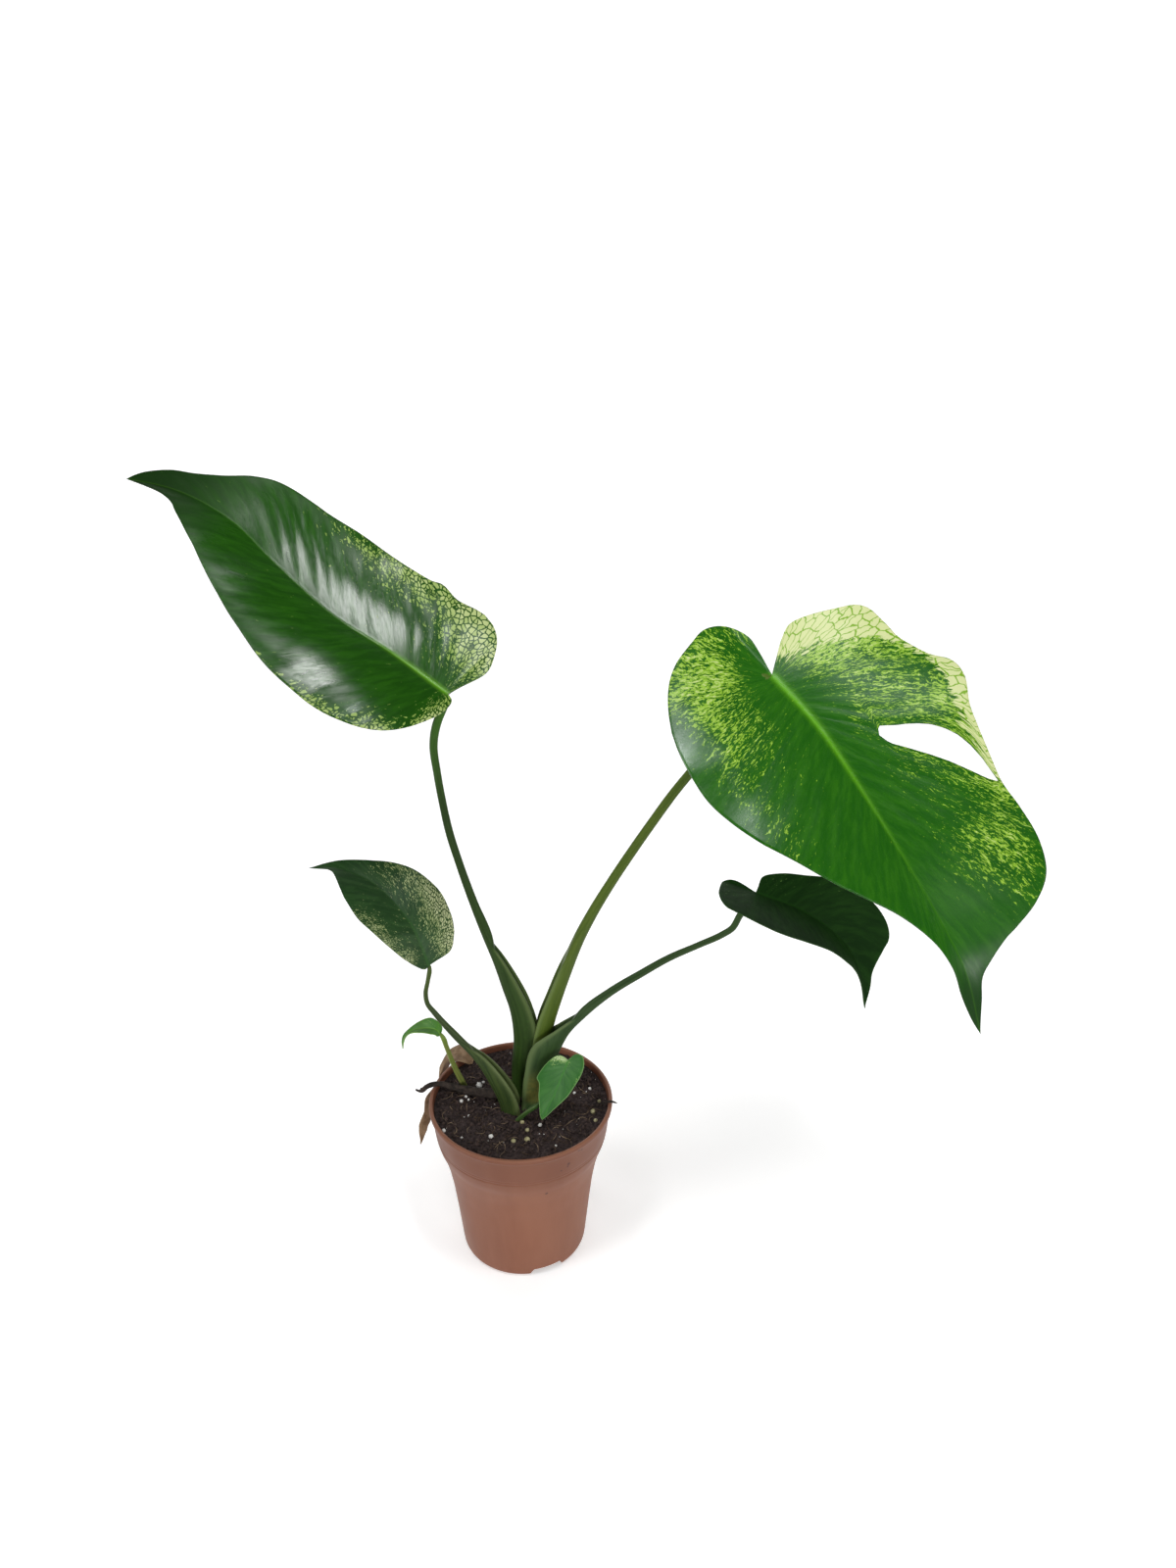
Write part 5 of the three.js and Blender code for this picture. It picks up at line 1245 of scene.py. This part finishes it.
def fibres(name, count, low, high, thick):
    """Thin bent threads lying on the soil: each a parabola in plan and a low arch in height, with
    four sides along its path, thinner towards its ends."""
    t = np.linspace(-0.5, 0.5, FIBRE_STEPS)[None, :]
    x, y = on_soil(count, 0.9)
    length = draw.uniform(low, high, count)[:, None]
    turn = draw.uniform(0, 2 * np.pi, count)[:, None]
    bow = draw.uniform(-0.35, 0.35, count)[:, None]
    along, sway = length * t, bow * length * (t**2 * 4 - 0.5)
    px = x[:, None] + along * np.cos(turn) - sway * np.sin(turn)
    py = y[:, None] + along * np.sin(turn) + sway * np.cos(turn)
    limit = np.minimum(1, (SOIL_RADIUS - 1) / np.maximum(np.hypot(px, py), 1))
    px, py = px * limit, py * limit
    arch = draw.uniform(0.2, 1.2, count)[:, None] * (1 - (2 * t) ** 2)
    pz = soil_height(px, py) + 0.7 + arch
    angle = np.linspace(0, 2 * np.pi, FIBRE_SIDES, endpoint=False)
    taper = 1 - 0.7 * np.abs(2 * t)[..., None]
    width = (thick * draw.uniform(0.6, 1.3, count))[:, None, None] * taper
    aside = width * np.cos(angle)
    points = np.stack([px[..., None] - aside * np.sin(turn)[..., None],
                       py[..., None] + aside * np.cos(turn)[..., None],
                       pz[..., None] + width * np.sin(angle)], -1)
    return swarm_piece(name, points, (FIBRE_STEPS, FIBRE_SIDES), weld=0)


dress(fibres("light_fibres", 90, 3, 11, 0.22), looks["light_fibre_look"], "potting_soil")
dress(fibres("dark_fibres", 170, 3, 12, 0.25), looks["dark_fibre_look"], "potting_soil")

TWIG = stalk_of(
    facing=(0, 0, 1),
    stations=[(52, -4, 112.6, 0.5), (56, -5, 114.6, 0.6), (59.3, -6, 115.7, 0.7),
              (61.2, -6.8, 115.9, 0.55), (63, -7.4, 116, 0.2)])
twig = stalk_piece("rim_twig", TWIG, steps=30, around=10, rough=0.2)
dress(twig, looks["withered_look"], "withered")

# Floor, light and camera
FLOOR_SECTION = [(-4000, 0), (2200, 0), (2800, 80), (3200, 350), (3400, 800), (3500, 1600),
                 (3500, 4000)]
FLOOR_HALF = 5000
FLOOR_STEPS = 60


def floor_piece():
    """A wide floor that curves up into a back wall far behind the pot."""
    knots = chord_knots([(y, z, 0) for y, z in FLOOR_SECTION])
    line = smooth(knots, FLOOR_SECTION, np.linspace(0, knots[-1], FLOOR_STEPS))
    across = np.linspace(-FLOOR_HALF, FLOOR_HALF, 3)
    y, z = line[:, :1] + 0 * across, np.maximum(line[:, 1:] + 0 * across, 0)
    points = np.stack([across[None, :] + 0 * y, y, z], -1)
    return mesh_piece("floor", points.reshape(-1, 3), grid_faces(y.shape, 0, True), weld=0)


floor = floor_piece()
floor_look = Finish("floor_look", 0.9)
floor_look.set("Base Color", (0.85, 0.85, 0.85))
floor_look.set("Specular IOR Level", 0.1)
floor_look.set("Emission Color", (1, 1, 1))
floor_look.set("Emission Strength", 0.4)
floor.data.materials.append(floor_look.material)


def lamp(name, kind, aim, power, color):
    """A light of a kind that shines along an aim, with its power and colour."""
    data = bpy.data.lights.new(name, kind)
    data.energy = power
    data.color = color
    holder = added(name, data)
    tilt = math.atan2(math.hypot(aim[0], aim[1]), -aim[2])
    holder.rotation_euler = (tilt, 0, math.atan2(aim[1], aim[0]) - math.pi / 2)
    return holder


WHITE = (1, 1, 1)
COOL = (0.94, 0.97, 1)
WARM = (1, 0.97, 0.93)
# Soft rectangular lights: place, target, width, height, power and colour.
PANELS = {
    "window_front": ((-330, -372, 1365), (-100, 38, 440), 230, 280, 2.8, WHITE),
    "window_back": ((-190, 140, 1390), (-100, -10, 410), 240, 160, 1.7, WHITE),
    "window_side": ((45, -60, 1390), (-80, -22, 400), 160, 170, 0.45, WHITE),
    "window_right": ((240, -375, 1330), (100, -75, 385), 110, 420, 3.4, COOL),
    "low_front": ((350, -960, 850), (230, -120, 320), 300, 200, 0.25, WHITE),
}
# Even lights wide enough for soft shadows: the direction they come from, strength and colour.
SOFT_SUNS = {
    "soft_left": ((-0.78, -0.5, 0.38), 1.3, WHITE),
    "soft_front": ((0.3, -0.94, 0.12), 1.6, WHITE),
    "soft_right": ((0.9, -0.3, 0.3), 0.8, WARM),
}
SUN_SPREAD = 25

for name, (place, target, width, height, power, color) in PANELS.items():
    aim = [b - a for a, b in zip(place, target)]
    light = lamp(name, "AREA", aim, power, color)
    light.location = [c * MM for c in place]
    light.data.shape = "RECTANGLE"
    light.data.size = width * MM
    light.data.size_y = height * MM
for name, (source, strength, color) in SOFT_SUNS.items():
    light = lamp(name, "SUN", [-c for c in source], strength, color)
    light.data.angle = math.radians(SUN_SPREAD)

# A white surrounding that is bright to the camera and dim as a light.
ROOM_LIGHT = 0.08
ROOM_SEEN = 0.9
world = bpy.data.worlds.new("soft_room")
bpy.context.scene.world = world
world.use_nodes = True
room = world.node_tree
background = room.nodes["Background"]
background.inputs["Color"].default_value = (1, 1, 1, 1)
rays = room.nodes.new("ShaderNodeLightPath")
strength = room.nodes.new("ShaderNodeMath")
strength.operation = "MULTIPLY_ADD"
room.links.new(rays.outputs["Is Camera Ray"], strength.inputs[0])
strength.inputs[1].default_value = ROOM_SEEN
strength.inputs[2].default_value = ROOM_LIGHT
room.links.new(strength.outputs[0], background.inputs["Strength"])

CAMERA_PLACE = (44, -616, 623)
CAMERA_PITCH = 24.6
LENS = 27
SENSOR = 36
camera_data = bpy.data.cameras.new("camera")
camera_data.sensor_width = SENSOR
camera_data.lens = LENS
camera = added("camera", camera_data)
camera.location = [c * MM for c in CAMERA_PLACE]
camera.rotation_euler = (math.radians(90 - CAMERA_PITCH), 0, 0)
bpy.context.scene.camera = camera
bpy.context.scene.view_settings.view_transform = "Standard"
